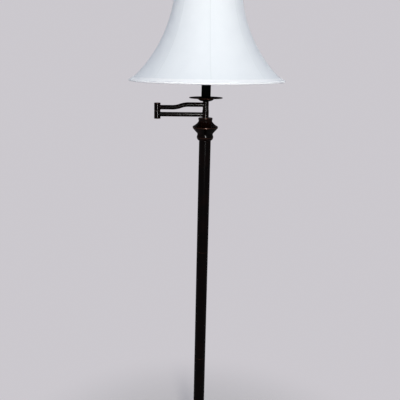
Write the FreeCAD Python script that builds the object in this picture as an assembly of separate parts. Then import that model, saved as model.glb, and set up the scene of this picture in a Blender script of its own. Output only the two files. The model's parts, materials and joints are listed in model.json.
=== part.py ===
# Swing-arm floor lamp with a bell shade, in millimetres.
#
# The floor is z = 0 and the pole stands on the Z axis. Both arms lie folded along -X, one above the
# other, so the shade hangs over the pole. -Y is the front, where the switch knob is.
import FreeCAD, Part
import math
import os

# ---------------------------------------------------------------- clearances
STILL_GAP = 0.05  # radial, between fixed pieces that slide into each other
RUNNING_GAP = 0.05  # radial, between a shaft and the bore it turns in
FACE_GAP = 0.2  # between two faces that turn past each other
CABLE_RADIUS = 3.0  # every hole that the cable passes inside the lamp

# ---------------------------------------------------------------- threaded lamp pipe
PIPE_RADIUS = 4.8
NUT_ACROSS_FLATS = 14.0
NUT_HEIGHT = 4.0

# ---------------------------------------------------------------- base
BASE_RADIUS = 127.0
PAD_THICKNESS = 2.0
PAD_INSET = 1.5
COVER_WALL = 1.2
SKIRT_HEIGHT = 12.0
SKIRT_ROUND = 5.0
STEP_INSET = 12.0  # from the skirt to the foot of the dome
STEP_RISE = 2.0
DOME_TOP_RADIUS = 60.0
DOME_RISE = 13.0
DOME_CROWN = 3.0  # how far the dome swells above a straight cone
COVE_WIDTH = 13.0
COVE_RISE = 7.0
COVE_SAG = 1.2
CROWN_ROUND = 2.0  # rounded edge between the cove and the flat crown
CROWN_ROUND_DROP = 0.6  # of that edge's middle below the crown
WEIGHT_RIM_HEIGHT = 14.0
WEIGHT_CROWN_HEIGHT = 24.0
WEIGHT_EDGE_GAP = 2.0
WEIGHT_CROWN_OVERHANG = 15.0  # crown radius beyond the top of the dome
WEIGHT_BOSS_RADIUS = 20.0
RECESS_RADIUS = 26.0
RECESS_DEPTH = 9.0
BASE_WASHER_RADIUS = 18.0
BASE_WASHER_THICKNESS = 1.5
ROD_PROUD = 1.5  # thread showing below the nut
INLET_RADIUS = 3.3
INLET_HEIGHT = 6.5  # above the pad
GROMMET_BODY_RADIUS = 4.6
GROMMET_FLANGE_RADIUS = 5.6
GROMMET_FLANGE_THICKNESS = 1.2
CHANNEL_CLEARANCE = 1.0

# ---------------------------------------------------------------- pole
POLE_RADIUS = 16.0
POLE_WALL = 1.2
POLE_SECTION_LENGTH = 333.0
POLE_SECTIONS = 3
SEAM_CHAMFER = 0.35
POLE_SOCKET_DEPTH = 14.0  # how far the pole enters the foot and the cap
COUPLER_LENGTH = 44.0
PLUG_LENGTH = 18.0
PLUG_BOSS_RADIUS = 12.0
PLUG_BOSS_HEIGHT = 11.0
PLUG_BORE_RADIUS = 8.0

# ---------------------------------------------------------------- foot of the pole
# "Proud" is a radius beyond the pole's, and heights are above the foot's underside.
FOOT_HEIGHT = 44.0
FOOT_FLANGE_PROUD = 20.0
FOOT_FLANGE_HEIGHT = 4.0
FOOT_FLANGE_SWELL = 1.2
FOOT_FLANGE_LEDGE = 2.0
FOOT_COVE_TOP = 20.0
FOOT_COVE_MIDDLE_HEIGHT = 10.0
FOOT_COVE_MIDDLE_PROUD = 9.1
FOOT_WAIST_PROUD = 5.5
FOOT_BULGE_PROUD = 9.0
FOOT_BULGE_BOTTOM = 23.0
FOOT_BULGE_TOP = 34.0
FOOT_LIP_PROUD = 3.0
FOOT_LIP_EASE = 1.0

# ---------------------------------------------------------------- column cap, the turned vase
# "Proud" is a radius beyond the pole's, and heights are above the cap's underside.
CAP_HEIGHT = 61.0
CAP_EDGE_PROUD = 1.2
CAP_BULGE_PROUD = 6.3
CAP_BULGE_HEIGHT = 7.4
CAP_BULGE_TOP = 14.4
CAP_WAIST_PROUD = 5.1
CAP_WAIST_SAG = 0.2
CAP_WAIST_HEIGHT = 17.2
CAP_CONE_PROUD = 6.3
CAP_CONE_BOTTOM = 20.2
CAP_RING_PROUD = 18.5
CAP_RING_HEIGHT = 35.4
CAP_RING_EDGE = 3.0  # half the height of the ring's rounded edge
CAP_RING_SWELL = 1.3  # of that edge, beyond its two ends
CAP_FLARE_MIDDLE_PROUD = 9.2
CAP_FLARE_MIDDLE_HEIGHT = 43.6
CAP_FLARE_TOP_PROUD = 2.6
CAP_FLARE_TOP = 51.0
CAP_NECK_PROUD = 2.3
CAP_NECK_TOP = 54.2
CAP_LIP_PROUD = 3.0
CAP_LIP_SWELL = 0.2
CAP_LIP_MIDDLE = 58.0
CAP_CAVITY_RADIUS = 11.0
CAP_CAVITY_TOP = 40.0

# ---------------------------------------------------------------- swing pivot
SPINDLE_RADIUS = 5.0
BUSH_WALL = 2.0
SWING_WASHER_THICKNESS = 0.8
SWING_WASHER_RADIUS = 7.4
STOP_WASHER_RADIUS = 8.0
STOP_WASHER_THICKNESS = 1.6
STOP_TAB_REACH = 10.4
STOP_TAB_WIDTH = 3.0
STOP_PIN_RADIUS = 1.1
STOP_PIN_CIRCLE = 9.6
STOP_PIN_OVERREACH = 2.0  # below the stop washer
SPINDLE_THREAD_PROUD = 1.0  # below its nut

# ---------------------------------------------------------------- arms
ARM_REACH = 130.0  # between the axes of the post and the elbow
ARM_RADIUS = 6.0
ARM_WALL = 1.0
ARM_RISE = 7.8  # climb of the upper arm in its shallow S
S_BEND_START = 40.0  # from the elbow's axis to the start of the S
S_BEND_LENGTH = 44.0
LOWER_BARREL_RADIUS = 8.7
UPPER_BARREL_RADIUS = 8.0
BARREL_CHAMFER = 0.7
LOWER_BARREL_LENGTH = 20.4
UPPER_BARREL_LENGTH = 22.4
LOWER_BARREL_LIP = 1.6  # lower barrel below its arm tube
UPPER_BARREL_LIP = 3.2  # upper barrel above its arm tube
BARREL_COLLAR_RADIUS = 6.5
BARREL_COLLAR_HEIGHT = 5.0
STEM_ROD_CLEARANCE = 0.6  # from the cable's side hole to the rod's end
ELBOW_RADIUS = 8.5
ELBOW_CHAMFER = 0.35
ELBOW_CAVITY_RADIUS = 6.3
ELBOW_WEB = 2.8
ELBOW_MARGIN = 4.0  # elbow barrel beyond an arm tube, above and below
ELBOW_STUD_RADIUS = 4.0
ELBOW_STUD_BORE = 2.2
ELBOW_FLANGE_RADIUS = 5.6
ELBOW_FLANGE_THICKNESS = 1.8
ELBOW_NUT_ACROSS_FLATS = 10.0
ELBOW_NUT_HEIGHT = 2.4
ELBOW_THREAD_PROUD = 0.4  # above the nut
ELBOW_WASHER_THICKNESS = 0.4
ELBOW_WASHER_INSET = 0.4
ELBOW_CAP_PROUD = 0.5
ELBOW_CAP_THICKNESS = 1.8
ELBOW_CAP_SPIGOT = 1.6
ELBOW_CAP_ROUND = 1.6  # width of the cap's rounded edge
ELBOW_CAP_ROUND_INSET = 0.25  # of that edge's middle
ELBOW_CAP_ROUND_HEIGHT = 1.1
ELBOW_CAP_DOME = 0.3

# ---------------------------------------------------------------- drip pan and candle tube
PAN_RADIUS = 45.0
PAN_BOWL_RADIUS = 22.0
PAN_NECK_RADIUS = 10.0
PAN_BOWL_DEPTH = 6.6
PAN_BOWL_SWELL = 1.4  # outwards, of the bowl's middle
PAN_BOWL_MIDDLE = 2.4  # height of that middle above the neck
PAN_BRIM_RISE = 2.0
PAN_BRIM_ARCH = 0.5
PAN_WALL = 1.0
PAN_NECK_WALL = 0.6  # radial, where the bowl starts
PAN_BEAD_RADIUS = 1.0
CANDLE_RADIUS = 12.5
CANDLE_WALL = 1.0
CANDLE_LENGTH = 85.0
SEAT_STEM_INSET = 1.2  # from the pan's neck
SEAT_STEM_HEIGHT = 3.0
SEAT_FLANGE = 1.5
SEAT_SPIGOT = 5.0
TUBE_CAP_THICKNESS = 3.0
TUBE_CAP_PROUD = 0.8
TUBE_CAP_EDGE = 2.0  # height of its rounded edge
TUBE_CAP_EASE = 0.4
TUBE_CAP_TOP_INSET = 2.0

# ---------------------------------------------------------------- lamp socket and bulb
SOCKET_RADIUS = 17.0
SOCKET_WALL = 0.8
SOCKET_NECK_RADIUS = 8.0
SOCKET_CAP_HEIGHT = 20.0
SOCKET_CAP_SHOULDER = 10.0
SOCKET_CAP_ROUND_INSET = 2.2  # of the shoulder's middle, from the wall
SOCKET_CAP_ROUND_HEIGHT = 3.4
SHELL_START = 13.0
SHELL_HEIGHT = 46.0
LINER_WALL = 0.7
LINER_SHORT = 1.0  # below the shell's top
BLOCK_HEIGHT = 18.0
SCREW_SHELL_WALL = 0.4
SCREW_SHELL_HOLE = 6.5
PIPE_IN_SOCKET = 8.0
BULB_BASE_RADIUS = 13.0
BULB_BASE_WALL = 0.5
BULB_BASE_HEIGHT = 22.0
BULB_BASE_FLOOR = 6.0  # solid part of the base, above its contact's face
BULB_CONTACT_RADIUS = 4.5
BULB_CONTACT_THICKNESS = 1.0
BULB_CONTACT_HEIGHT = 5.0  # from the contact's face to the cup's full width
BULB_RADIUS = 30.0
BULB_NECK_RADIUS = 12.3
BULB_NECK_LENGTH = 12.0
BULB_NECK_LEAN = 50.0
BULB_WALL = 0.8
SWITCH_STEM_RADIUS = 2.0
SWITCH_STEM_HEIGHT = 26.0  # above the socket's bottom
SWITCH_STEM_INNER = 5.0
KNOB_RADIUS = 6.0
KNOB_LENGTH = 11.0
KNOB_STANDOFF = 6.0  # from the socket shell to the knob
KNOB_NECK_RADIUS = 4.3
KNOB_NECK_END_RADIUS = 4.7
KNOB_NECK_LENGTH = 2.0
KNOB_FLARE_END = 3.2
KNOB_EDGE = 1.2  # width and length of the rounded edge
KNOB_EDGE_SAG = 0.35
KNOB_DOME = 0.5
KNOB_END_WALL = 2.0  # beyond the stem's end
KNOB_FLUTES = 10
KNOB_FLUTE_RADIUS = 1.2
KNOB_FLUTE_START = 3.6
KNOB_FLUTE_OUT = 0.66  # from the knob's side to a flute's axis

# ---------------------------------------------------------------- harp
HARP_HEIGHT = 229.0  # 9 inches, from the saddle's underside to the shade's seat
HARP_WIRE_RADIUS = 2.0
HARP_FOOT_SPREAD = 34.0
HARP_WAIST_SPREAD = 57.0
HARP_STRAIGHT = 27.0
HARP_WAIST_LOW = 96.0
HARP_WAIST_HIGH = 170.0
HARP_TOP_HALF_WIDTH = 26.0
HARP_BENDS = (26.0, 70.0, 70.0, 26.0)  # foot, low waist, high waist and top corner
HARP_BOSS_RADIUS = 5.0
HARP_BOSS_ABOVE_WIRE = 5.0
HARP_BOSS_BELOW_WIRE = 1.0
HARP_STUD_RADIUS = 3.1
HARP_STUD_LENGTH = 22.0
SADDLE_THICKNESS = 1.6
SADDLE_WIDTH = 12.0
SADDLE_PIN_RADIUS = 2.2
SADDLE_PIN_TOP = 24.0
SADDLE_SHOULDER_RADIUS = 4.0
SADDLE_SHOULDER_TOP = 12.0
SLEEVE_RADIUS = 4.0
SLEEVE_GAP = 0.1
SLEEVE_LENGTH = 22.0
SLEEVE_CHAMFER = 0.6

# ---------------------------------------------------------------- shade
SHADE_HEIGHT = 279.4
SHADE_RIM_RADIUS = 205.0
SHADE_KICK_WIDTH = 16.0  # last part of the bell, which kicks out to the rim
SHADE_KICK_BEND = 60.0  # radius of its curve
SHADE_SKIRT_LEAN = 46.0  # degrees from upright where the kick begins
SHADE_WAIST_RADIUS = 83.5
SHADE_TOP_RADIUS = 85.5
SHADE_TOP_FLARE = 20.0  # height from the waist to the top edge
SHADE_WALL = 1.0
TRIM_WALL = 1.5
TRIM_BOTTOM_WIDTH = 14.0
TRIM_TOP_WIDTH = 12.0
RING_WIRE_RADIUS = 1.5
RING_INSET = 3.0  # ring's centre above the rim or below the top edge
RIB_WIRE_RADIUS = 1.1
RIB_COUNT = 8
FRAME_GAP = 0.1  # between the fabric and its wires
SPIDER_DROP = 12.0  # hub below the shade's top edge
SPIDER_HUB_RADIUS = 9.0
SPIDER_HUB_WALL = 0.1  # over and under a spoke
SPIDER_WIRE_RADIUS = 1.4
SPIDER_HUB_THICKNESS = 2 * (SPIDER_WIRE_RADIUS + SPIDER_HUB_WALL)
SPIDER_OVERLAP = 2.0  # of a spoke, inside the hub's edge
SPIDER_FLAT = 30.0
SPIDER_BEND = 20.0
SPIDER_SPOKES = 3

# ---------------------------------------------------------------- finial
FINIAL_FOOT_RADIUS = 8.0
FINIAL_FOOT_SWELL = 0.8
FINIAL_FOOT_EDGE = 2.4  # height of the foot's rounded edge
FINIAL_NECK_RADIUS = 4.8
FINIAL_COVE_MIDDLE_OUT = 0.9
FINIAL_COVE_MIDDLE_DROP = 0.4
FINIAL_COVE_RISE = 1.4
FINIAL_BALL_RADIUS = 9.5
FINIAL_FOOT_HEIGHT = 4.0
FINIAL_NECK_HEIGHT = 9.0
FINIAL_TIP_NECK_RADIUS = 2.4
FINIAL_TIP_RADIUS = 3.0
FINIAL_BORE_DEPTH = 22.5

# ---------------------------------------------------------------- levels, from the floor up
PAD_TOP = PAD_THICKNESS
STEP_LEVEL = SKIRT_HEIGHT + SKIRT_ROUND  # above the pad
COVER_HEIGHT = STEP_LEVEL + STEP_RISE + DOME_RISE + COVE_RISE
FOOT_BOTTOM = PAD_TOP + COVER_HEIGHT
POLE_BOTTOM = FOOT_BOTTOM + FOOT_HEIGHT - POLE_SOCKET_DEPTH
POLE_TOP = POLE_BOTTOM + POLE_SECTIONS * POLE_SECTION_LENGTH
CAP_BOTTOM = POLE_TOP - POLE_SOCKET_DEPTH
CAP_TOP = CAP_BOTTOM + CAP_HEIGHT
LOWER_BARREL_BOTTOM = CAP_TOP + SWING_WASHER_THICKNESS + FACE_GAP
LOWER_BARREL_TOP = LOWER_BARREL_BOTTOM + LOWER_BARREL_LENGTH
LOWER_ARM_Z = LOWER_BARREL_BOTTOM + ARM_RADIUS + LOWER_BARREL_LIP
SPINDLE_TOP = LOWER_ARM_Z - CABLE_RADIUS
UPPER_BARREL_BOTTOM = LOWER_BARREL_TOP + 2 * FACE_GAP
UPPER_BARREL_TOP = UPPER_BARREL_BOTTOM + UPPER_BARREL_LENGTH
UPPER_ARM_POST_Z = UPPER_BARREL_TOP - ARM_RADIUS - UPPER_BARREL_LIP
UPPER_ARM_ELBOW_Z = UPPER_ARM_POST_Z - ARM_RISE
ELBOW_PLANE = (LOWER_ARM_Z + UPPER_ARM_ELBOW_Z) / 2
ELBOW_BOTTOM = LOWER_ARM_Z - ARM_RADIUS - ELBOW_MARGIN
ELBOW_TOP = UPPER_ARM_ELBOW_Z + ARM_RADIUS + ELBOW_MARGIN
PAN_FLOOR = UPPER_BARREL_TOP + PAN_WALL
CANDLE_BOTTOM = PAN_FLOOR + SEAT_STEM_HEIGHT + SEAT_FLANGE
CANDLE_TOP = CANDLE_BOTTOM + CANDLE_LENGTH
SADDLE_Z = CANDLE_TOP + TUBE_CAP_THICKNESS
SOCKET_Z = SADDLE_Z + SADDLE_THICKNESS
SHADE_SEAT = SADDLE_Z + HARP_HEIGHT
HUB_Z = SHADE_SEAT + FACE_GAP
RIM_Z = HUB_Z + SPIDER_DROP - SHADE_HEIGHT

# ---------------------------------------------------------------- radii that follow from the above
POLE_BORE = POLE_RADIUS - POLE_WALL
SOCKET_BORE = POLE_RADIUS + STILL_GAP
PIPE_HOLE = PIPE_RADIUS + STILL_GAP
BUSH_RADIUS = SPINDLE_RADIUS + RUNNING_GAP + BUSH_WALL
ELBOW_X = -ARM_REACH
FRONT_ANGLE = 270.0  # degrees about Z from +X to the front, where one rib stands

X_AXIS = FreeCAD.Vector(1, 0, 0)
Y_AXIS = FreeCAD.Vector(0, 1, 0)
Z_AXIS = FreeCAD.Vector(0, 0, 1)
ORIGIN = FreeCAD.Vector(0, 0, 0)


# ================================================================ shape helpers
def cylinder(radius, bottom, top, x=0.0, y=0.0):
    """Upright cylinder between two levels."""
    return Part.makeCylinder(radius, top - bottom, FreeCAD.Vector(x, y, bottom), Z_AXIS)


def tube(outer, inner, bottom, top, x=0.0, y=0.0):
    """Upright tube between two levels."""
    return cylinder(outer, bottom, top, x, y).cut(cylinder(inner, bottom - 1, top + 1, x, y))


def in_section(point):
    """A (radius, height) pair as a point of the XZ plane."""
    return FreeCAD.Vector(point[0], 0, point[1])


def outline(points):
    """Closed face of the XZ plane. An entry is a corner (radius, height), reached by a straight line,
    or a pair (middle, end) of such points, reached by an arc through the middle one."""
    edges = []
    here = in_section(points[0])
    for entry in points[1:] + [points[0]]:
        if isinstance(entry[0], tuple):
            middle = in_section(entry[0])
            there = in_section(entry[1])
            edges.append(Part.Arc(here, middle, there).toShape())
        else:
            there = in_section(entry)
            if there.distanceToPoint(here) < 1e-7:
                continue
            edges.append(Part.makeLine(here, there))
        here = there
    return Part.Face(Part.Wire(edges))


def turned(points, x=0.0):
    """Solid of revolution about an upright axis, from an outline of radii and heights."""
    solid = outline(points).revolve(ORIGIN, Z_AXIS, 360)
    solid.translate(FreeCAD.Vector(x, 0, 0))
    return solid


def hex_prism(across_flats, bottom, top, x=0.0):
    """Upright hexagonal prism."""
    corner = across_flats / 2 / math.cos(math.pi / 6)
    angles = [math.radians(60 * k) for k in range(7)]
    loop = [FreeCAD.Vector(x + corner * math.cos(a), corner * math.sin(a), bottom) for a in angles]
    face = Part.Face(Part.makePolygon(loop))
    return face.extrude(FreeCAD.Vector(0, 0, top - bottom))


def hex_nut(across_flats, bore, bottom, top, x=0.0):
    """Hexagonal nut on an upright axis, its corners rounded off by a cone at both ends."""
    corner = across_flats / 2 / math.cos(math.pi / 6)
    ease = (corner - across_flats / 2) / 2
    envelope = turned(
        [
            (0, bottom),
            (corner - ease, bottom),
            (corner, bottom + ease),
            (corner, top - ease),
            (corner - ease, top),
            (0, top),
        ],
        x,
    )
    return hex_prism(across_flats, bottom, top, x).common(envelope).cut(
        cylinder(bore, bottom - 1, top + 1, x)
    )


def bent_path(corners, bends):
    """Wire of straight runs through the corners, each inner corner rounded by its bend radius."""
    points = [FreeCAD.Vector(*corner) for corner in corners]
    edges = []
    here = points[0]
    for before, corner, after, bend in zip(points, points[1:], points[2:], bends):
        into = (corner - before).normalize()
        out = (after - corner).normalize()
        turn = into.getAngle(out)
        setback = bend * math.tan(turn / 2)
        start = corner - into * setback
        end = corner + out * setback
        inward = (out - into).normalize()
        middle = corner + inward * (bend / math.cos(turn / 2) - bend)
        if start.distanceToPoint(here) > 1e-6:
            edges.append(Part.makeLine(here, start))
        edges.append(Part.Arc(start, middle, end).toShape())
        here = end
    edges.append(Part.makeLine(here, points[-1]))
    return Part.Wire(edges)


def wire_solid(path, radius):
    """Round wire of the given radius along a path."""
    start = path.OrderedVertexes[0].Point
    heading = path.OrderedEdges[0].tangentAt(path.OrderedEdges[0].FirstParameter)
    if path.OrderedEdges[0].Orientation == "Reversed":
        heading = heading * -1
    section = Part.Wire(Part.makeCircle(radius, start, heading))
    return path.makePipeShell([section], True, False)


def along_x(radius, start, end, z):
    """Cylinder along X at height z, from x = start to x = end."""
    low = min(start, end)
    return Part.makeCylinder(radius, abs(end - start), FreeCAD.Vector(low, 0, z), X_AXIS)


def ring_of(shape, count, first_angle=0.0):
    """Copies of a shape evenly spaced about the Z axis, as separate solids."""
    copies = []
    for k in range(count):
        copy = shape.copy()
        copy.rotate(ORIGIN, Z_AXIS, first_angle + 360 * k / count)
        copies.append(copy)
    return copies


# ================================================================ base
def cover_outline(inset):
    """Half section of the cover, moved in and down by inset, from the floor to the axis."""
    skirt = BASE_RADIUS - inset
    step = BASE_RADIUS - STEP_INSET - inset
    dome = DOME_TOP_RADIUS - inset
    cove = dome - COVE_WIDTH
    z0 = PAD_TOP - inset
    shoulder = z0 + SKIRT_HEIGHT
    ledge = z0 + STEP_LEVEL
    dome_foot = ledge + STEP_RISE
    dome_top = dome_foot + DOME_RISE
    crown = z0 + COVER_HEIGHT
    quarter = SKIRT_ROUND * math.sqrt(0.5)
    round_middle = (skirt - SKIRT_ROUND + quarter, shoulder + quarter)
    dome_middle = ((step + dome) / 2, (dome_foot + dome_top) / 2 + DOME_CROWN)
    cove_end = (cove + CROWN_ROUND, crown - CROWN_ROUND)
    cove_middle = ((dome + cove_end[0]) / 2, (dome_top + cove_end[1]) / 2 - COVE_SAG)
    crown_middle = (cove + CROWN_ROUND / 2, crown - CROWN_ROUND_DROP)
    return [
        (0, z0),
        (skirt, z0),
        (skirt, shoulder),
        (round_middle, (skirt - SKIRT_ROUND, ledge)),
        (step, ledge),
        (step, dome_foot),
        (dome_middle, (dome, dome_top)),
        (cove_middle, cove_end),
        (crown_middle, (cove - CROWN_ROUND / 2, crown)),
        (0, crown),
    ]


def make_base_pad():
    return cylinder(BASE_RADIUS - PAD_INSET, 0, PAD_TOP)


def make_base_cover():
    """Spun shell: the outer form, less the same form moved in and down by the wall."""
    shell = turned(cover_outline(0)).cut(turned(cover_outline(COVER_WALL)))
    inlet = Part.makeCylinder(
        GROMMET_BODY_RADIUS + STILL_GAP,
        BASE_RADIUS,
        FreeCAD.Vector(0, 0, PAD_TOP + INLET_HEIGHT),
        Y_AXIS,
    )
    inlet = inlet.cut(cylinder(BASE_RADIUS - SKIRT_ROUND, 0, FOOT_BOTTOM))
    return shell.cut(cylinder(PIPE_HOLE, 0, FOOT_BOTTOM + 1)).cut(inlet)


def make_base_weight():
    """Stepped iron disc with a recess for the nut below and a channel for the cable to the back."""
    rim_radius = BASE_RADIUS - STEP_INSET - COVER_WALL - WEIGHT_EDGE_GAP
    crown_radius = DOME_TOP_RADIUS + WEIGHT_CROWN_OVERHANG
    rim_top = PAD_TOP + WEIGHT_RIM_HEIGHT
    crown_top = PAD_TOP + WEIGHT_CROWN_HEIGHT
    boss_top = FOOT_BOTTOM - COVER_WALL
    body = turned(
        [
            (0, PAD_TOP),
            (rim_radius, PAD_TOP),
            (rim_radius, rim_top),
            (crown_radius, rim_top),
            (crown_radius, crown_top),
            (WEIGHT_BOSS_RADIUS, crown_top),
            (WEIGHT_BOSS_RADIUS, boss_top),
            (0, boss_top),
        ]
    )
    recess = cylinder(RECESS_RADIUS, PAD_TOP, PAD_TOP + RECESS_DEPTH)
    half_width = INLET_RADIUS + CHANNEL_CLEARANCE
    channel = Part.makeBox(
        2 * half_width,
        BASE_RADIUS,
        INLET_HEIGHT + half_width,
        FreeCAD.Vector(-half_width, 0, PAD_TOP),
    )
    return body.cut(recess).cut(channel).cut(cylinder(PIPE_HOLE, 0, FOOT_BOTTOM))


def make_cable_grommet():
    """Bush in the skirt's hole: a flange inside and one outside, shaped to the skirt."""
    height = PAD_TOP + INLET_HEIGHT
    inner_face = BASE_RADIUS - COVER_WALL - GROMMET_FLANGE_THICKNESS - STILL_GAP
    outer_face = BASE_RADIUS + GROMMET_FLANGE_THICKNESS
    flanges = Part.makeCylinder(
        GROMMET_FLANGE_RADIUS, outer_face - inner_face, FreeCAD.Vector(0, inner_face, height), Y_AXIS
    )
    hole = Part.makeCylinder(
        INLET_RADIUS, 2 * BASE_RADIUS, FreeCAD.Vector(0, 0, height), Y_AXIS
    )
    skirt = tube(
        BASE_RADIUS + STILL_GAP, BASE_RADIUS - COVER_WALL - STILL_GAP, 0, PAD_TOP + SKIRT_HEIGHT + SKIRT_ROUND
    )
    body = Part.makeCylinder(
        GROMMET_BODY_RADIUS, outer_face - inner_face, FreeCAD.Vector(0, inner_face, height), Y_AXIS
    )
    return flanges.cut(skirt).fuse(body).cut(hole).removeSplitter()


def make_base_washer():
    top = PAD_TOP + RECESS_DEPTH
    return tube(BASE_WASHER_RADIUS, PIPE_HOLE, top - BASE_WASHER_THICKNESS, top)


def base_nut_bottom():
    return PAD_TOP + RECESS_DEPTH - BASE_WASHER_THICKNESS - NUT_HEIGHT


def make_base_nut():
    bottom = base_nut_bottom()
    return hex_nut(NUT_ACROSS_FLATS, PIPE_RADIUS, bottom, bottom + NUT_HEIGHT)


def make_base_rod():
    """Lamp pipe from below the nut up into the plug at the foot of the pole."""
    return tube(PIPE_RADIUS, CABLE_RADIUS, base_nut_bottom() - ROD_PROUD, POLE_BOTTOM + PLUG_LENGTH)


# ================================================================ pole
def make_column_foot():
    """Turned collar: flange, cove, waist, bulge and lip, with a socket for the pole."""
    flange = POLE_RADIUS + FOOT_FLANGE_PROUD
    waist = POLE_RADIUS + FOOT_WAIST_PROUD
    bulge = POLE_RADIUS + FOOT_BULGE_PROUD
    lip = POLE_RADIUS + FOOT_LIP_PROUD
    z0 = FOOT_BOTTOM
    top = FOOT_BOTTOM + FOOT_HEIGHT
    flange_top = z0 + FOOT_FLANGE_HEIGHT
    flange_middle = (flange + FOOT_FLANGE_SWELL, z0 + FOOT_FLANGE_HEIGHT / 2)
    cove_middle = (POLE_RADIUS + FOOT_COVE_MIDDLE_PROUD, z0 + FOOT_COVE_MIDDLE_HEIGHT)
    bulge_top = z0 + FOOT_BULGE_TOP
    bulge_middle = (bulge, z0 + (FOOT_BULGE_BOTTOM + FOOT_BULGE_TOP) / 2)
    body = turned(
        [
            (0, z0),
            (flange, z0),
            (flange_middle, (flange, flange_top)),
            (flange - FOOT_FLANGE_LEDGE, flange_top),
            (cove_middle, (waist, z0 + FOOT_COVE_TOP)),
            (waist, z0 + FOOT_BULGE_BOTTOM),
            (bulge_middle, (waist, bulge_top)),
            (lip, bulge_top),
            (lip, top - FOOT_LIP_EASE),
            (lip - FOOT_LIP_EASE, top),
            (0, top),
        ]
    )
    return body.cut(cylinder(SOCKET_BORE, POLE_BOTTOM, top + 1)).cut(cylinder(PIPE_HOLE, z0 - 1, top))


def make_pole_section(index):
    """One length of pole tube. Its ends at a seam have a fine chamfer, so the seam is a hairline."""
    bottom = POLE_BOTTOM + index * POLE_SECTION_LENGTH
    top = bottom + POLE_SECTION_LENGTH
    low_ease = SEAM_CHAMFER if index > 0 else 0.0
    high_ease = SEAM_CHAMFER if index < POLE_SECTIONS - 1 else 0.0
    return turned(
        [
            (POLE_BORE, bottom),
            (POLE_RADIUS - low_ease, bottom),
            (POLE_RADIUS, bottom + low_ease),
            (POLE_RADIUS, top - high_ease),
            (POLE_RADIUS - high_ease, top),
            (POLE_BORE, top),
        ]
    )


def make_pole_coupler(seam):
    """Threaded coupler, half in the section below the seam and half in the one above."""
    z = POLE_BOTTOM + seam * POLE_SECTION_LENGTH
    radius = POLE_BORE - STILL_GAP
    return tube(radius, PLUG_BORE_RADIUS, z - COUPLER_LENGTH / 2, z + COUPLER_LENGTH / 2)


def make_pole_plug_bottom():
    return tube(POLE_BORE - STILL_GAP, PIPE_RADIUS, POLE_BOTTOM, POLE_BOTTOM + PLUG_LENGTH)


def make_pole_plug_top():
    """Plug in the pole's top, with a threaded boss that the cap screws onto."""
    body = cylinder(POLE_BORE - STILL_GAP, POLE_TOP - PLUG_LENGTH, POLE_TOP)
    boss = cylinder(PLUG_BOSS_RADIUS, POLE_TOP, POLE_TOP + PLUG_BOSS_HEIGHT)
    bore = cylinder(PLUG_BORE_RADIUS, POLE_TOP - PLUG_LENGTH - 1, POLE_TOP + PLUG_BOSS_HEIGHT + 1)
    return body.fuse(boss).cut(bore).removeSplitter()


def make_column_cap():
    """Vase: bulge, waist, straight cone out to a ring, concave flare back to a short neck and a lip."""
    z0 = CAP_BOTTOM
    edge = POLE_RADIUS + CAP_EDGE_PROUD
    bulge = POLE_RADIUS + CAP_BULGE_PROUD
    waist = POLE_RADIUS + CAP_WAIST_PROUD
    ring = POLE_RADIUS + CAP_RING_PROUD
    lip = POLE_RADIUS + CAP_LIP_PROUD
    ring_z = z0 + CAP_RING_HEIGHT
    bulge_middle = (bulge, z0 + CAP_BULGE_HEIGHT)
    waist_middle = (waist - CAP_WAIST_SAG, z0 + CAP_WAIST_HEIGHT)
    flare_middle = (POLE_RADIUS + CAP_FLARE_MIDDLE_PROUD, z0 + CAP_FLARE_MIDDLE_HEIGHT)
    lip_middle = (lip + CAP_LIP_SWELL, z0 + CAP_LIP_MIDDLE)
    body = turned(
        [
            (0, z0),
            (edge, z0),
            (bulge_middle, (waist, z0 + CAP_BULGE_TOP)),
            (waist_middle, (POLE_RADIUS + CAP_CONE_PROUD, z0 + CAP_CONE_BOTTOM)),
            (ring - CAP_RING_SWELL, ring_z - CAP_RING_EDGE),
            ((ring, ring_z), (ring - CAP_RING_SWELL, ring_z + CAP_RING_EDGE)),
            (flare_middle, (POLE_RADIUS + CAP_FLARE_TOP_PROUD, z0 + CAP_FLARE_TOP)),
            (POLE_RADIUS + CAP_NECK_PROUD, z0 + CAP_NECK_TOP),
            (lip_middle, (lip, z0 + CAP_HEIGHT)),
            (0, z0 + CAP_HEIGHT),
        ]
    )
    socket = cylinder(SOCKET_BORE, z0 - 1, POLE_TOP)
    boss_hole = cylinder(PLUG_BOSS_RADIUS + STILL_GAP, z0, POLE_TOP + PLUG_BOSS_HEIGHT)
    cavity = cylinder(CAP_CAVITY_RADIUS, z0, z0 + CAP_CAVITY_TOP)
    bush_hole = cylinder(BUSH_RADIUS, z0, z0 + CAP_HEIGHT + 1)
    return body.cut(socket).cut(boss_hole).cut(cavity).cut(bush_hole)


def make_pivot_bush():
    return tube(BUSH_RADIUS, SPINDLE_RADIUS + RUNNING_GAP, CAP_BOTTOM + CAP_CAVITY_TOP, CAP_TOP)


def make_swing_washer():
    return tube(SWING_WASHER_RADIUS, SPINDLE_RADIUS + RUNNING_GAP, CAP_TOP, CAP_TOP + SWING_WASHER_THICKNESS)


def make_stop_pin():
    """Pin hanging from the cavity's roof. The stop washer's tab meets it at each end of the swing."""
    roof = CAP_BOTTOM + CAP_CAVITY_TOP
    length = FACE_GAP + STOP_WASHER_THICKNESS + STOP_PIN_OVERREACH
    return cylinder(STOP_PIN_RADIUS, roof - length, roof, STOP_PIN_CIRCLE, 0.0)


# ================================================================ lower arm
def coped(solid, radius, bottom, top, x):
    """A tube's end cut to sit against an upright barrel."""
    return solid.cut(cylinder(radius, bottom - 1, top + 1, x))


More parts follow.
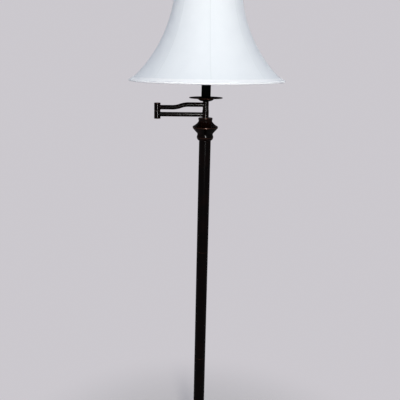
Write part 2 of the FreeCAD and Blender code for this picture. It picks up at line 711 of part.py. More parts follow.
def make_swing_spindle():
    """Hollow spindle, fixed in the lower barrel and turning in the bush."""
    nut_room = FACE_GAP + STOP_WASHER_THICKNESS + NUT_HEIGHT + SPINDLE_THREAD_PROUD
    bottom = CAP_BOTTOM + CAP_CAVITY_TOP - nut_room
    return tube(SPINDLE_RADIUS, CABLE_RADIUS, bottom, SPINDLE_TOP)


def make_stop_washer():
    """Washer with a tab that points away from the stop pin at rest, so it swings alike both ways."""
    top = CAP_BOTTOM + CAP_CAVITY_TOP - FACE_GAP
    bottom = top - STOP_WASHER_THICKNESS
    disc = cylinder(STOP_WASHER_RADIUS, bottom, top)
    tab = Part.makeBox(
        STOP_TAB_REACH,
        STOP_TAB_WIDTH,
        STOP_WASHER_THICKNESS,
        FreeCAD.Vector(-STOP_TAB_REACH, -STOP_TAB_WIDTH / 2, bottom),
    )
    hole = cylinder(SPINDLE_RADIUS, bottom - 1, top + 1)
    return disc.fuse(tab).cut(hole).removeSplitter()


def make_spindle_nut():
    top = CAP_BOTTOM + CAP_CAVITY_TOP - FACE_GAP - STOP_WASHER_THICKNESS
    return hex_nut(NUT_ACROSS_FLATS, SPINDLE_RADIUS, top - NUT_HEIGHT, top)


def make_lower_barrel():
    """Short post on the cap: a blind hole for the spindle and a side hole for the cable."""
    ease = BARREL_CHAMFER
    radius = LOWER_BARREL_RADIUS
    body = turned(
        [
            (0, LOWER_BARREL_BOTTOM),
            (radius - ease, LOWER_BARREL_BOTTOM),
            (radius, LOWER_BARREL_BOTTOM + ease),
            (radius, LOWER_BARREL_TOP - ease),
            (radius - ease, LOWER_BARREL_TOP),
            (0, LOWER_BARREL_TOP),
        ]
    )
    spindle_hole = cylinder(SPINDLE_RADIUS, LOWER_BARREL_BOTTOM - 1, SPINDLE_TOP)
    cable_hole = cylinder(CABLE_RADIUS, LOWER_BARREL_BOTTOM, LOWER_ARM_Z + CABLE_RADIUS)
    side_hole = along_x(CABLE_RADIUS, 0, -radius - 1, LOWER_ARM_Z)
    return body.cut(spindle_hole).cut(cable_hole).cut(side_hole)


def make_lower_arm_tube():
    outer = along_x(ARM_RADIUS, 0, ELBOW_X, LOWER_ARM_Z)
    inner = along_x(ARM_RADIUS - ARM_WALL, 1, ELBOW_X - 1, LOWER_ARM_Z)
    arm = coped(outer.cut(inner), LOWER_BARREL_RADIUS, LOWER_BARREL_BOTTOM, LOWER_BARREL_TOP, 0)
    return coped(arm, ELBOW_RADIUS, ELBOW_BOTTOM, ELBOW_PLANE, ELBOW_X)


def elbow_half(closed_end, web_face, arm_z):
    """Half of the elbow barrel: a tube with a web at the joint and a side hole towards the post."""
    low = min(closed_end, web_face)
    high = max(closed_end, web_face)
    ease = ELBOW_CHAMFER
    body = turned(
        [
            (0, low),
            (ELBOW_RADIUS - ease, low),
            (ELBOW_RADIUS, low + ease),
            (ELBOW_RADIUS, high - ease),
            (ELBOW_RADIUS - ease, high),
            (0, high),
        ],
        ELBOW_X,
    )
    side_hole = along_x(CABLE_RADIUS, ELBOW_X, ELBOW_X + ELBOW_RADIUS + 1, arm_z)
    return body.cut(side_hole)


def make_elbow_lower():
    face = ELBOW_PLANE - FACE_GAP
    body = elbow_half(ELBOW_BOTTOM, face, LOWER_ARM_Z)
    cavity = cylinder(ELBOW_CAVITY_RADIUS, ELBOW_BOTTOM - 1, face - ELBOW_WEB, ELBOW_X)
    return body.cut(cavity).cut(cylinder(ELBOW_STUD_RADIUS, ELBOW_BOTTOM, face + 1, ELBOW_X))


def make_elbow_upper():
    face = ELBOW_PLANE + ELBOW_WASHER_THICKNESS
    body = elbow_half(ELBOW_TOP, face, UPPER_ARM_ELBOW_Z)
    cavity = cylinder(ELBOW_CAVITY_RADIUS, face + ELBOW_WEB, ELBOW_TOP + 1, ELBOW_X)
    bearing = cylinder(ELBOW_STUD_RADIUS + RUNNING_GAP, face - 1, ELBOW_TOP, ELBOW_X)
    return body.cut(cavity).cut(bearing)


def make_elbow_stud():
    """Hollow stud with a flange under the lower web. The upper half turns on it."""
    web_bottom = ELBOW_PLANE - FACE_GAP - ELBOW_WEB
    top = elbow_nut_bottom() + ELBOW_NUT_HEIGHT + ELBOW_THREAD_PROUD
    stem = cylinder(ELBOW_STUD_RADIUS, web_bottom - ELBOW_FLANGE_THICKNESS, top, ELBOW_X)
    flange = cylinder(ELBOW_FLANGE_RADIUS, web_bottom - ELBOW_FLANGE_THICKNESS, web_bottom, ELBOW_X)
    bore = cylinder(ELBOW_STUD_BORE, ELBOW_BOTTOM, ELBOW_TOP, ELBOW_X)
    return stem.fuse(flange).cut(bore).removeSplitter()


def make_elbow_washer():
    bottom = ELBOW_PLANE - FACE_GAP
    radius = ELBOW_RADIUS - ELBOW_WASHER_INSET
    return tube(radius, ELBOW_STUD_RADIUS, bottom, bottom + ELBOW_WASHER_THICKNESS, ELBOW_X)


def elbow_nut_bottom():
    return ELBOW_PLANE + ELBOW_WASHER_THICKNESS + ELBOW_WEB + FACE_GAP


def make_elbow_nut():
    bottom = elbow_nut_bottom()
    top = bottom + ELBOW_NUT_HEIGHT
    return hex_nut(ELBOW_NUT_ACROSS_FLATS, ELBOW_STUD_RADIUS, bottom, top, ELBOW_X)


def elbow_cap(face, outward):
    """Domed disc that closes one end of the elbow barrel, with a spigot inside it."""
    radius = ELBOW_RADIUS + ELBOW_CAP_PROUD
    far = face + outward * ELBOW_CAP_THICKNESS
    spigot_end = face - outward * ELBOW_CAP_SPIGOT
    spigot = ELBOW_CAVITY_RADIUS - STILL_GAP
    edge_middle = (radius - ELBOW_CAP_ROUND_INSET, face + outward * ELBOW_CAP_ROUND_HEIGHT)
    return turned(
        [
            (0, spigot_end),
            (spigot, spigot_end),
            (spigot, face),
            (radius, face),
            (edge_middle, (radius - ELBOW_CAP_ROUND, far)),
            (0, far + outward * ELBOW_CAP_DOME),
        ],
        ELBOW_X,
    )


# ================================================================ upper arm
def upper_arm_path():
    """Level from the elbow, a shallow S up by the arm's rise, and level again to the post.
    The S is two equal arcs, so its bend radius follows from its length and rise."""
    half_turn = math.atan2(ARM_RISE, S_BEND_LENGTH)
    bend = S_BEND_LENGTH / 2 / math.sin(2 * half_turn)
    setback = bend * math.tan(half_turn)
    low_x = ELBOW_X + S_BEND_START + setback
    high_x = ELBOW_X + S_BEND_START + S_BEND_LENGTH - setback
    corners = [
        (ELBOW_X, 0, UPPER_ARM_ELBOW_Z),
        (low_x, 0, UPPER_ARM_ELBOW_Z),
        (high_x, 0, UPPER_ARM_POST_Z),
        (0, 0, UPPER_ARM_POST_Z),
    ]
    return bent_path(corners, (bend, bend))


def make_upper_arm_tube():
    path = upper_arm_path()
    arm = wire_solid(path, ARM_RADIUS).cut(wire_solid(path, ARM_RADIUS - ARM_WALL))
    arm = coped(arm, UPPER_BARREL_RADIUS, UPPER_BARREL_BOTTOM, UPPER_BARREL_TOP, 0)
    return coped(arm, ELBOW_RADIUS, ELBOW_PLANE, ELBOW_TOP, ELBOW_X)


def make_upper_barrel():
    """Post that carries the pan: a threaded collar above, and a cable hole from the side."""
    ease = BARREL_CHAMFER
    radius = UPPER_BARREL_RADIUS
    collar_top = UPPER_BARREL_TOP + BARREL_COLLAR_HEIGHT
    body = turned(
        [
            (0, UPPER_BARREL_BOTTOM),
            (radius - ease, UPPER_BARREL_BOTTOM),
            (radius, UPPER_BARREL_BOTTOM + ease),
            (radius, UPPER_BARREL_TOP),
            (BARREL_COLLAR_RADIUS, UPPER_BARREL_TOP),
            (BARREL_COLLAR_RADIUS, collar_top),
            (0, collar_top),
        ]
    )
    pipe_hole = cylinder(PIPE_RADIUS, pipe_bottom(), collar_top + 1)
    cable_hole = cylinder(CABLE_RADIUS, UPPER_ARM_POST_Z - CABLE_RADIUS, collar_top)
    side_hole = along_x(CABLE_RADIUS, 0, -radius - 1, UPPER_ARM_POST_Z)
    return body.cut(pipe_hole).cut(cable_hole).cut(side_hole)


def pipe_bottom():
    return UPPER_ARM_POST_Z + CABLE_RADIUS + STEM_ROD_CLEARANCE


def make_stem_rod():
    """Lamp pipe that clamps pan, candle tube, saddle and socket onto the upper barrel."""
    return tube(PIPE_RADIUS, CABLE_RADIUS, pipe_bottom(), SOCKET_Z + PIPE_IN_SOCKET)


def pan_outline(lift):
    """Underside of the pan when lift is 0, and its inside when lift is the wall: neck, bowl, brim."""
    z0 = UPPER_BARREL_TOP + lift
    bowl_z = z0 + PAN_BOWL_DEPTH
    brim_z = bowl_z + PAN_BRIM_RISE
    bowl_middle = ((PAN_NECK_RADIUS + PAN_BOWL_RADIUS) / 2 + PAN_BOWL_SWELL, z0 + PAN_BOWL_MIDDLE)
    brim_middle = ((PAN_BOWL_RADIUS + PAN_RADIUS) / 2, (bowl_z + brim_z) / 2 + PAN_BRIM_ARCH)
    brim_end = PAN_RADIUS - PAN_BEAD_RADIUS
    return [
        (PAN_NECK_RADIUS - lift / PAN_WALL * PAN_NECK_WALL, z0),
        (bowl_middle, (PAN_BOWL_RADIUS, bowl_z)),
        (brim_middle, (brim_end, brim_z)),
    ]


def make_drip_pan():
    """Thin dish with a deep bowl, an almost flat brim and a rolled bead at its edge."""
    hole = BARREL_COLLAR_RADIUS + STILL_GAP
    floor = UPPER_BARREL_TOP
    under = pan_outline(0)
    inside = pan_outline(PAN_WALL)
    dish = turned(
        [(hole, floor), under[0], under[1], under[2], inside[2][1]]
        + [(inside[2][0], inside[1][1]), (inside[1][0], inside[0]), (hole, floor + PAN_WALL)]
    )
    bead_z = floor + PAN_BOWL_DEPTH + PAN_BRIM_RISE + PAN_WALL / 2
    bead = Part.makeTorus(
        PAN_RADIUS - PAN_BEAD_RADIUS, PAN_BEAD_RADIUS, FreeCAD.Vector(0, 0, bead_z), Z_AXIS
    )
    return dish.fuse(bead).removeSplitter()


def make_tube_seat():
    """Turned seat in the pan's bowl, which centres the candle tube."""
    hole = BARREL_COLLAR_RADIUS + STILL_GAP
    stem = PAN_NECK_RADIUS - SEAT_STEM_INSET
    spigot = CANDLE_RADIUS - CANDLE_WALL - STILL_GAP
    flange_bottom = PAN_FLOOR + SEAT_STEM_HEIGHT
    top = CANDLE_BOTTOM + SEAT_SPIGOT
    body = turned(
        [
            (PIPE_HOLE, PAN_FLOOR),
            (stem, PAN_FLOOR),
            (stem, flange_bottom),
            (CANDLE_RADIUS, flange_bottom),
            (CANDLE_RADIUS, CANDLE_BOTTOM),
            (spigot, CANDLE_BOTTOM),
            (spigot, top),
            (PIPE_HOLE, top),
        ]
    )
    return body.cut(cylinder(hole, PAN_FLOOR - 1, UPPER_BARREL_TOP + BARREL_COLLAR_HEIGHT))


def make_candle_tube():
    return tube(CANDLE_RADIUS, CANDLE_RADIUS - CANDLE_WALL, CANDLE_BOTTOM, CANDLE_TOP)


def make_tube_cap():
    """Cap on the candle tube, with a spigot inside it and a slightly wider rounded edge."""
    spigot = CANDLE_RADIUS - CANDLE_WALL - STILL_GAP
    edge = CANDLE_RADIUS + TUBE_CAP_PROUD
    edge_middle = (edge, CANDLE_TOP + TUBE_CAP_EDGE / 2)
    return turned(
        [
            (PIPE_HOLE, CANDLE_TOP - SEAT_SPIGOT),
            (spigot, CANDLE_TOP - SEAT_SPIGOT),
            (spigot, CANDLE_TOP),
            (edge - TUBE_CAP_EASE, CANDLE_TOP),
            (edge_middle, (edge - 2 * TUBE_CAP_EASE, CANDLE_TOP + TUBE_CAP_EDGE)),
            (edge - TUBE_CAP_TOP_INSET, SADDLE_Z),
            (PIPE_HOLE, SADDLE_Z),
        ]
    )


# ================================================================ harp
def make_harp_saddle():
    """Strap clamped under the socket, with a shouldered pin at each end for the harp's feet."""
    strap = Part.makeBox(
        2 * HARP_FOOT_SPREAD,
        SADDLE_WIDTH,
        SADDLE_THICKNESS,
        FreeCAD.Vector(-HARP_FOOT_SPREAD, -SADDLE_WIDTH / 2, SADDLE_Z),
    )
    for side in (-1, 1):
        x = side * HARP_FOOT_SPREAD
        shoulder = SADDLE_Z + SADDLE_SHOULDER_TOP
        strap = strap.fuse(cylinder(SADDLE_WIDTH / 2, SADDLE_Z, SOCKET_Z, x))
        strap = strap.fuse(cylinder(SADDLE_SHOULDER_RADIUS, SADDLE_Z, shoulder, x))
        strap = strap.fuse(cylinder(SADDLE_PIN_RADIUS, SADDLE_Z, SADDLE_Z + SADDLE_PIN_TOP, x))
    return strap.cut(cylinder(PIPE_HOLE, SADDLE_Z - 1, SOCKET_Z + 1)).removeSplitter()


def make_harp_sleeve(side):
    """Sleeve that stands on the saddle's shoulder and locks the harp's foot onto its pin."""
    bottom = SADDLE_Z + SADDLE_SHOULDER_TOP + FACE_GAP
    bore = SADDLE_PIN_RADIUS + SLEEVE_GAP
    x = side * HARP_FOOT_SPREAD
    ease = SLEEVE_CHAMFER
    return turned(
        [
            (bore, bottom),
            (SLEEVE_RADIUS - ease, bottom),
            (SLEEVE_RADIUS, bottom + ease),
            (SLEEVE_RADIUS, bottom + SLEEVE_LENGTH - ease),
            (SLEEVE_RADIUS - ease, bottom + SLEEVE_LENGTH),
            (bore, bottom + SLEEVE_LENGTH),
        ],
        x,
    )


def harp_wire_top():
    return SHADE_SEAT - HARP_BOSS_ABOVE_WIRE


def harp_wire():
    """Wire from foot to foot: straight legs, a wide waist and a rounded top, alike on both sides."""
    foot_z = SADDLE_Z + SADDLE_PIN_TOP
    half = [
        (HARP_FOOT_SPREAD, foot_z),
        (HARP_FOOT_SPREAD, foot_z + HARP_STRAIGHT),
        (HARP_WAIST_SPREAD, SADDLE_Z + HARP_WAIST_LOW),
        (HARP_WAIST_SPREAD, SADDLE_Z + HARP_WAIST_HIGH),
        (HARP_TOP_HALF_WIDTH, harp_wire_top()),
    ]
    right = [(x, 0, z) for x, z in half]
    left = [(-x, 0, z) for x, z in reversed(half)]
    bends = HARP_BENDS + tuple(reversed(HARP_BENDS))
    return wire_solid(bent_path(right + left, bends), HARP_WIRE_RADIUS)


def make_harp_post():
    """Boss brazed over the wire's top, with the threaded stud that the shade and finial sit on."""
    low = harp_wire_top() - HARP_WIRE_RADIUS - HARP_BOSS_BELOW_WIRE
    boss = cylinder(HARP_BOSS_RADIUS, low, SHADE_SEAT)
    stud = cylinder(HARP_STUD_RADIUS, SHADE_SEAT, SHADE_SEAT + HARP_STUD_LENGTH)
    return boss.fuse(stud).cut(harp_wire()).removeSplitter()


# ================================================================ socket, switch and bulb
def shell_radius():
    return SOCKET_RADIUS - SOCKET_WALL - STILL_GAP


def shell_bore():
    return shell_radius() - SOCKET_WALL


def liner_bore():
    return shell_bore() - STILL_GAP - LINER_WALL


def block_top():
    return SOCKET_Z + SHELL_START + SOCKET_WALL + BLOCK_HEIGHT


def shell_top():
    return SOCKET_Z + SHELL_START + SHELL_HEIGHT


def stem_hole(radius):
    """Hole towards the front for the switch stem, from the socket's axis outwards."""
    start = FreeCAD.Vector(0, -SWITCH_STEM_INNER, SOCKET_Z + SWITCH_STEM_HEIGHT)
    return Part.makeCylinder(radius, SOCKET_RADIUS + KNOB_STANDOFF, start, Y_AXIS * -1)


def make_socket_cap():
    """Spun cup on the stem rod: a flat neck, a round shoulder and a straight wall."""
    z0 = SOCKET_Z
    middle_r = SOCKET_RADIUS - SOCKET_CAP_ROUND_INSET
    middle_z = z0 + SOCKET_CAP_ROUND_HEIGHT
    shoulder_middle = (middle_r, middle_z)
    inner_middle = (middle_r - SOCKET_WALL, middle_z + SOCKET_WALL)
    top = z0 + SOCKET_CAP_HEIGHT
    inner_neck = SOCKET_NECK_RADIUS - SOCKET_WALL
    return turned(
        [
            (PIPE_HOLE, z0),
            (SOCKET_NECK_RADIUS, z0),
            (shoulder_middle, (SOCKET_RADIUS, z0 + SOCKET_CAP_SHOULDER)),
            (SOCKET_RADIUS, top),
            (SOCKET_RADIUS - SOCKET_WALL, top),
            (SOCKET_RADIUS - SOCKET_WALL, z0 + SOCKET_WALL + SOCKET_CAP_SHOULDER),
            (inner_middle, (inner_neck, z0 + SOCKET_WALL)),
            (PIPE_HOLE, z0 + SOCKET_WALL),
        ]
    )


def make_socket_shell():
    bottom = SOCKET_Z + SHELL_START
    shell = tube(shell_radius(), shell_bore(), bottom, shell_top())
    return shell.cut(stem_hole(SWITCH_STEM_RADIUS + 2 * FACE_GAP))


def make_socket_liner():
    bottom = SOCKET_Z + SHELL_START + SOCKET_WALL
    liner = tube(shell_bore() - STILL_GAP, liner_bore(), bottom, shell_top() - LINER_SHORT)
    return liner.cut(stem_hole(SWITCH_STEM_RADIUS + 2 * FACE_GAP))


def make_socket_block():
    """Switch block at the bottom of the shell. The stem turns in its bore."""
    bottom = SOCKET_Z + SHELL_START + SOCKET_WALL
    block = cylinder(liner_bore() - STILL_GAP, bottom, block_top())
    return block.cut(stem_hole(SWITCH_STEM_RADIUS + RUNNING_GAP))


def make_screw_shell():
    """Brass cup that the bulb screws into, standing on the switch block."""
    inner = BULB_BASE_RADIUS + STILL_GAP
    outer = inner + SCREW_SHELL_WALL
    floor = block_top()
    top = floor + BULB_BASE_HEIGHT
    cup = tube(outer, inner, floor, top)
    foot = tube(outer, SCREW_SHELL_HOLE, floor, floor + SCREW_SHELL_WALL)
    return cup.fuse(foot).removeSplitter()


def bulb_floor():
    return block_top() + SCREW_SHELL_WALL


def make_bulb_base():
    """Metal cap of the bulb: contact, sloped foot and a thin cup that holds the glass neck."""
    z0 = bulb_floor()
    top = z0 + BULB_BASE_HEIGHT
    inner = BULB_BASE_RADIUS - BULB_BASE_WALL
    return turned(
        [
            (0, z0),
            (BULB_CONTACT_RADIUS, z0),
            (BULB_CONTACT_RADIUS, z0 + BULB_CONTACT_THICKNESS),
            (BULB_BASE_RADIUS, z0 + BULB_CONTACT_HEIGHT),
            (BULB_BASE_RADIUS, top),
            (inner, top),
            (inner, z0 + BULB_BASE_FLOOR),
            (0, z0 + BULB_BASE_FLOOR),
        ]
    )


def bulb_outline(inset):
    """Half section of the glass: straight neck, a tangent flare and a ball, moved in by inset."""
    neck = BULB_NECK_RADIUS - inset
    ball = BULB_RADIUS - inset
    lean = math.radians(BULB_NECK_LEAN)
    join = BULB_RADIUS * math.cos(lean)
    flare = (join - BULB_NECK_RADIUS) / (1 - math.cos(lean))
    bottom = bulb_floor() + BULB_BASE_HEIGHT - BULB_NECK_LENGTH / 2
    neck_top = bottom + BULB_NECK_LENGTH
    centre = neck_top + flare * math.sin(lean) + BULB_RADIUS * math.sin(lean)
    flare_out = flare + inset
    start = neck + flare_out
    flare_middle = (start - flare_out * math.cos(lean / 2), neck_top + flare_out * math.sin(lean / 2))
    flare_end = (start - flare_out * math.cos(lean), neck_top + flare_out * math.sin(lean))
    ball_middle = (ball, centre)
    return [
        (0, bottom),
        (neck, bottom),
        (neck, neck_top),
        (flare_middle, flare_end),
        (ball_middle, (0, centre + ball)),
    ]


def make_bulb_globe():
    """Thin glass, open at the neck where the base holds it."""
    return turned(bulb_outline(0)).cut(turned(bulb_outline(BULB_WALL)))


def knob_face():
    return -(shell_radius() + KNOB_STANDOFF)


def make_switch_stem():
    z = SOCKET_Z + SWITCH_STEM_HEIGHT
    inner_end = SWITCH_STEM_INNER + FACE_GAP
    length = -knob_face() + KNOB_LENGTH - KNOB_END_WALL - inner_end
    start = FreeCAD.Vector(0, -inner_end, z)
    return Part.makeCylinder(SWITCH_STEM_RADIUS, length, start, Y_AXIS * -1)


def make_switch_knob():
    """Fluted knob with a domed end, turned about Z and then laid along the stem."""
    edge_middle = (KNOB_RADIUS - KNOB_EDGE_SAG, KNOB_LENGTH - KNOB_EDGE_SAG)
    knob = turned(
        [
            (0, 0),
            (KNOB_NECK_RADIUS, 0),
            (KNOB_NECK_END_RADIUS, KNOB_NECK_LENGTH),
            (KNOB_RADIUS, KNOB_FLARE_END),
            (KNOB_RADIUS, KNOB_LENGTH - KNOB_EDGE),
            (edge_middle, (KNOB_RADIUS - KNOB_EDGE, KNOB_LENGTH)),
            (0, KNOB_LENGTH + KNOB_DOME),
        ]
    )
    flute_x = KNOB_RADIUS + KNOB_FLUTE_OUT
    flute = cylinder(KNOB_FLUTE_RADIUS, KNOB_FLUTE_START, KNOB_LENGTH + KNOB_DOME + 1, flute_x)
    for groove in ring_of(flute, KNOB_FLUTES):
        knob = knob.cut(groove)
    knob = knob.cut(cylinder(SWITCH_STEM_RADIUS, -1, KNOB_LENGTH - KNOB_END_WALL))
    knob.rotate(ORIGIN, X_AXIS, 90)
    knob.translate(FreeCAD.Vector(0, knob_face(), SOCKET_Z + SWITCH_STEM_HEIGHT))
    return knob


# ================================================================ shade
def kick_arc():
    """Arc at the rim, where the bell kicks out: (centre radius, centre height above the rim, radius,
    lean at the rim, lean at the skirt). Lean is the curve's angle from upright, towards the axis."""
    skirt_lean = math.radians(SHADE_SKIRT_LEAN)
    bend = SHADE_KICK_BEND
    centre_r = SHADE_RIM_RADIUS - SHADE_KICK_WIDTH + bend * math.cos(skirt_lean)
    rim_lean = math.acos((centre_r - SHADE_RIM_RADIUS) / bend)
    return (centre_r, bend * math.sin(rim_lean), bend, rim_lean, skirt_lean)


def bell_arcs():
    """The bell's outer curve as four tangent arcs, written as the kick is. The second and third are a
    biarc with equal tangent lengths from the skirt to the waist, where the curve is upright, and the
    fourth flares to the top edge. All of them bend away from the axis."""
    kick = kick_arc()
    lean = kick[4]
    start_r = kick[0] - kick[2] * math.cos(lean)
    start_h = kick[1] - kick[2] * math.sin(lean)
    waist_h = SHADE_HEIGHT - SHADE_TOP_FLARE
    run = (-math.sin(lean), math.cos(lean))
    normal = (math.cos(lean), math.sin(lean))
    across = SHADE_WAIST_RADIUS - start_r
    along = waist_h - start_h
    a = run[0] ** 2 + (run[1] + 1) ** 2 - 4
    b = -2 * (across * run[0] + along * (run[1] + 1))
    c = across**2 + along**2
    root = math.sqrt(b * b - 4 * a * c)
    tangent = max((-b - root) / (2 * a), (-b + root) / (2 * a))
    dr = (across + tangent * run[0]) / 2
    dh = (along + tangent * (run[1] - 1)) / 2
    low = (dr**2 + dh**2) / (2 * (dr * normal[0] + dh * normal[1]))
    join_lean = math.atan2(low * normal[1] - dh, low * normal[0] - dr)
    er = dr - across
    eh = dh - along
    high = (er**2 + eh**2) / (2 * er)
    flare_r = SHADE_TOP_RADIUS - SHADE_WAIST_RADIUS
    flare = (flare_r**2 + SHADE_TOP_FLARE**2) / (2 * flare_r)
    return [
        kick,
        (start_r + low * normal[0], start_h + low * normal[1], low, lean, join_lean),
        (SHADE_WAIST_RADIUS + high, waist_h, high, join_lean, 0.0),
        (SHADE_WAIST_RADIUS + flare, waist_h, flare, 0.0, -math.asin(SHADE_TOP_FLARE / flare)),
    ]


def bell_point(arc, lean, inset):
    """Point (radius, level) of an arc where the curve leans so, moved inset towards the axis."""
    centre_r, centre_h, radius = arc[:3]
    reach = radius + inset
    return (centre_r - reach * math.cos(lean), RIM_Z + centre_h - reach * math.sin(lean))


def bell_run(arcs, inset):
    """Start point and arc entries for an outline that follows the bell upwards."""
    entries = [bell_point(arcs[0], arcs[0][3], inset)]
    for arc in arcs:
        middle = bell_point(arc, (arc[3] + arc[4]) / 2, inset)
        entries.append((middle, bell_point(arc, arc[4], inset)))
    return entries


def bell_run_down(arcs, inset):
    """The same curve, followed downwards."""
    flipped = [arc[:3] + (arc[4], arc[3]) for arc in reversed(arcs)]
    return bell_run(flipped, inset)


def bell_layer(arcs, outside, inside):
    """Turned layer between two insets of the bell."""
    return turned(bell_run(arcs, outside) + bell_run_down(arcs, inside))


def make_shade_fabric():
    return bell_layer(bell_arcs(), 0.0, SHADE_WALL)


def make_shade_trim_bottom():
    """Folded band outside the rim."""
    first = bell_arcs()[0]
    band = first[:3] + (first[3], first[3] - TRIM_BOTTOM_WIDTH / first[2])
    return bell_layer([band], -TRIM_WALL, 0.0)


def make_shade_trim_top():
    last = bell_arcs()[-1]
    band = last[:3] + (last[4] + TRIM_TOP_WIDTH / last[2], last[4])
    return bell_layer([band], -TRIM_WALL, 0.0)


def ring_place(arc, lean, wire_radius):
    """Centre (radius, level) of a ring wire that lies inside the fabric at this point."""
    return bell_point(arc, lean, SHADE_WALL + FRAME_GAP + wire_radius)


def bottom_ring_place():
    first = bell_arcs()[0]
    return ring_place(first, first[3] - RING_INSET / first[2], RING_WIRE_RADIUS)


def top_ring_place():
    last = bell_arcs()[-1]
    return ring_place(last, last[4] + RING_INSET / last[2], RING_WIRE_RADIUS)


def wire_ring(place):
    return Part.makeTorus(place[0], RING_WIRE_RADIUS, FreeCAD.Vector(0, 0, place[1]), Z_AXIS)


def make_shade_ribs():
    """Wires from ring to ring just inside the fabric, each cut to meet both rings."""
    kick, skirt, crown, flare = bell_arcs()
    low = kick[:3] + (kick[3] - RING_INSET / kick[2], kick[4])
    high = flare[:3] + (flare[3], flare[4] + RING_INSET / flare[2])
    entries = bell_run([low, skirt, crown, high], SHADE_WALL + FRAME_GAP + RIB_WIRE_RADIUS)
    here = in_section(entries[0])
    edges = []
    for middle, end in entries[1:]:
        there = in_section(end)
        edges.append(Part.Arc(here, in_section(middle), there).toShape())
        here = there
    rib = wire_solid(Part.Wire(edges), RIB_WIRE_RADIUS)
    rib = rib.cut(wire_ring(bottom_ring_place())).cut(wire_ring(top_ring_place()))
    rib = max(rib.Solids, key=lambda solid: solid.Volume)
    return Part.makeCompound(ring_of(rib, RIB_COUNT, FRONT_ANGLE))


def make_shade_spider():
    """Hub washer on the harp's stud and three spokes out to the top ring, between the ribs."""
    hub = tube(
        SPIDER_HUB_RADIUS, HARP_STUD_RADIUS + RUNNING_GAP, HUB_Z, HUB_Z + SPIDER_HUB_THICKNESS
    )
    ring_r, ring_z = top_ring_place()
    level = HUB_Z + SPIDER_HUB_THICKNESS / 2
    inner_end = SPIDER_HUB_RADIUS - SPIDER_OVERLAP
    corners = [(inner_end, 0, level), (SPIDER_FLAT, 0, level), (ring_r, 0, ring_z)]
    spoke = wire_solid(bent_path(corners, (SPIDER_BEND,)), SPIDER_WIRE_RADIUS)
    spoke = spoke.cut(wire_ring((ring_r, ring_z)))
    spoke = max(spoke.Solids, key=lambda solid: solid.Volume)
    for arm in ring_of(spoke, SPIDER_SPOKES, FRONT_ANGLE + 180 / RIB_COUNT):
        hub = hub.fuse(arm)
    return hub.removeSplitter()


# ================================================================ finial
def make_finial():
    """Turned finial: a foot, a slim neck, a ball and a small tip, drilled for the stud."""
    z0 = HUB_Z + SPIDER_HUB_THICKNESS + FACE_GAP
    neck_z = z0 + FINIAL_FOOT_HEIGHT
    ball_z = z0 + FINIAL_NECK_HEIGHT
    sink = math.sqrt(FINIAL_BALL_RADIUS**2 - FINIAL_NECK_RADIUS**2)
    centre = ball_z + sink
    tip_neck_z = centre + math.sqrt(FINIAL_BALL_RADIUS**2 - FINIAL_TIP_NECK_RADIUS**2)
    tip_centre = tip_neck_z + math.sqrt(FINIAL_TIP_RADIUS**2 - FINIAL_TIP_NECK_RADIUS**2)
    foot_middle = (FINIAL_FOOT_RADIUS + FINIAL_FOOT_SWELL, z0 + FINIAL_FOOT_EDGE / 2)
    cove_middle = (FINIAL_NECK_RADIUS + FINIAL_COVE_MIDDLE_OUT, neck_z - FINIAL_COVE_MIDDLE_DROP)
    body = turned(
        [
            (0, z0),
            (FINIAL_FOOT_RADIUS, z0),
            (foot_middle, (FINIAL_FOOT_RADIUS, z0 + FINIAL_FOOT_EDGE)),
            (cove_middle, (FINIAL_NECK_RADIUS, neck_z + FINIAL_COVE_RISE)),
            (FINIAL_NECK_RADIUS, ball_z),
            ((FINIAL_BALL_RADIUS, centre), (FINIAL_TIP_NECK_RADIUS, tip_neck_z)),
            ((FINIAL_TIP_RADIUS, tip_centre), (0, tip_centre + FINIAL_TIP_RADIUS)),
        ]
    )
    return body.cut(cylinder(HARP_STUD_RADIUS, z0 - 1, SHADE_SEAT + FINIAL_BORE_DEPTH))


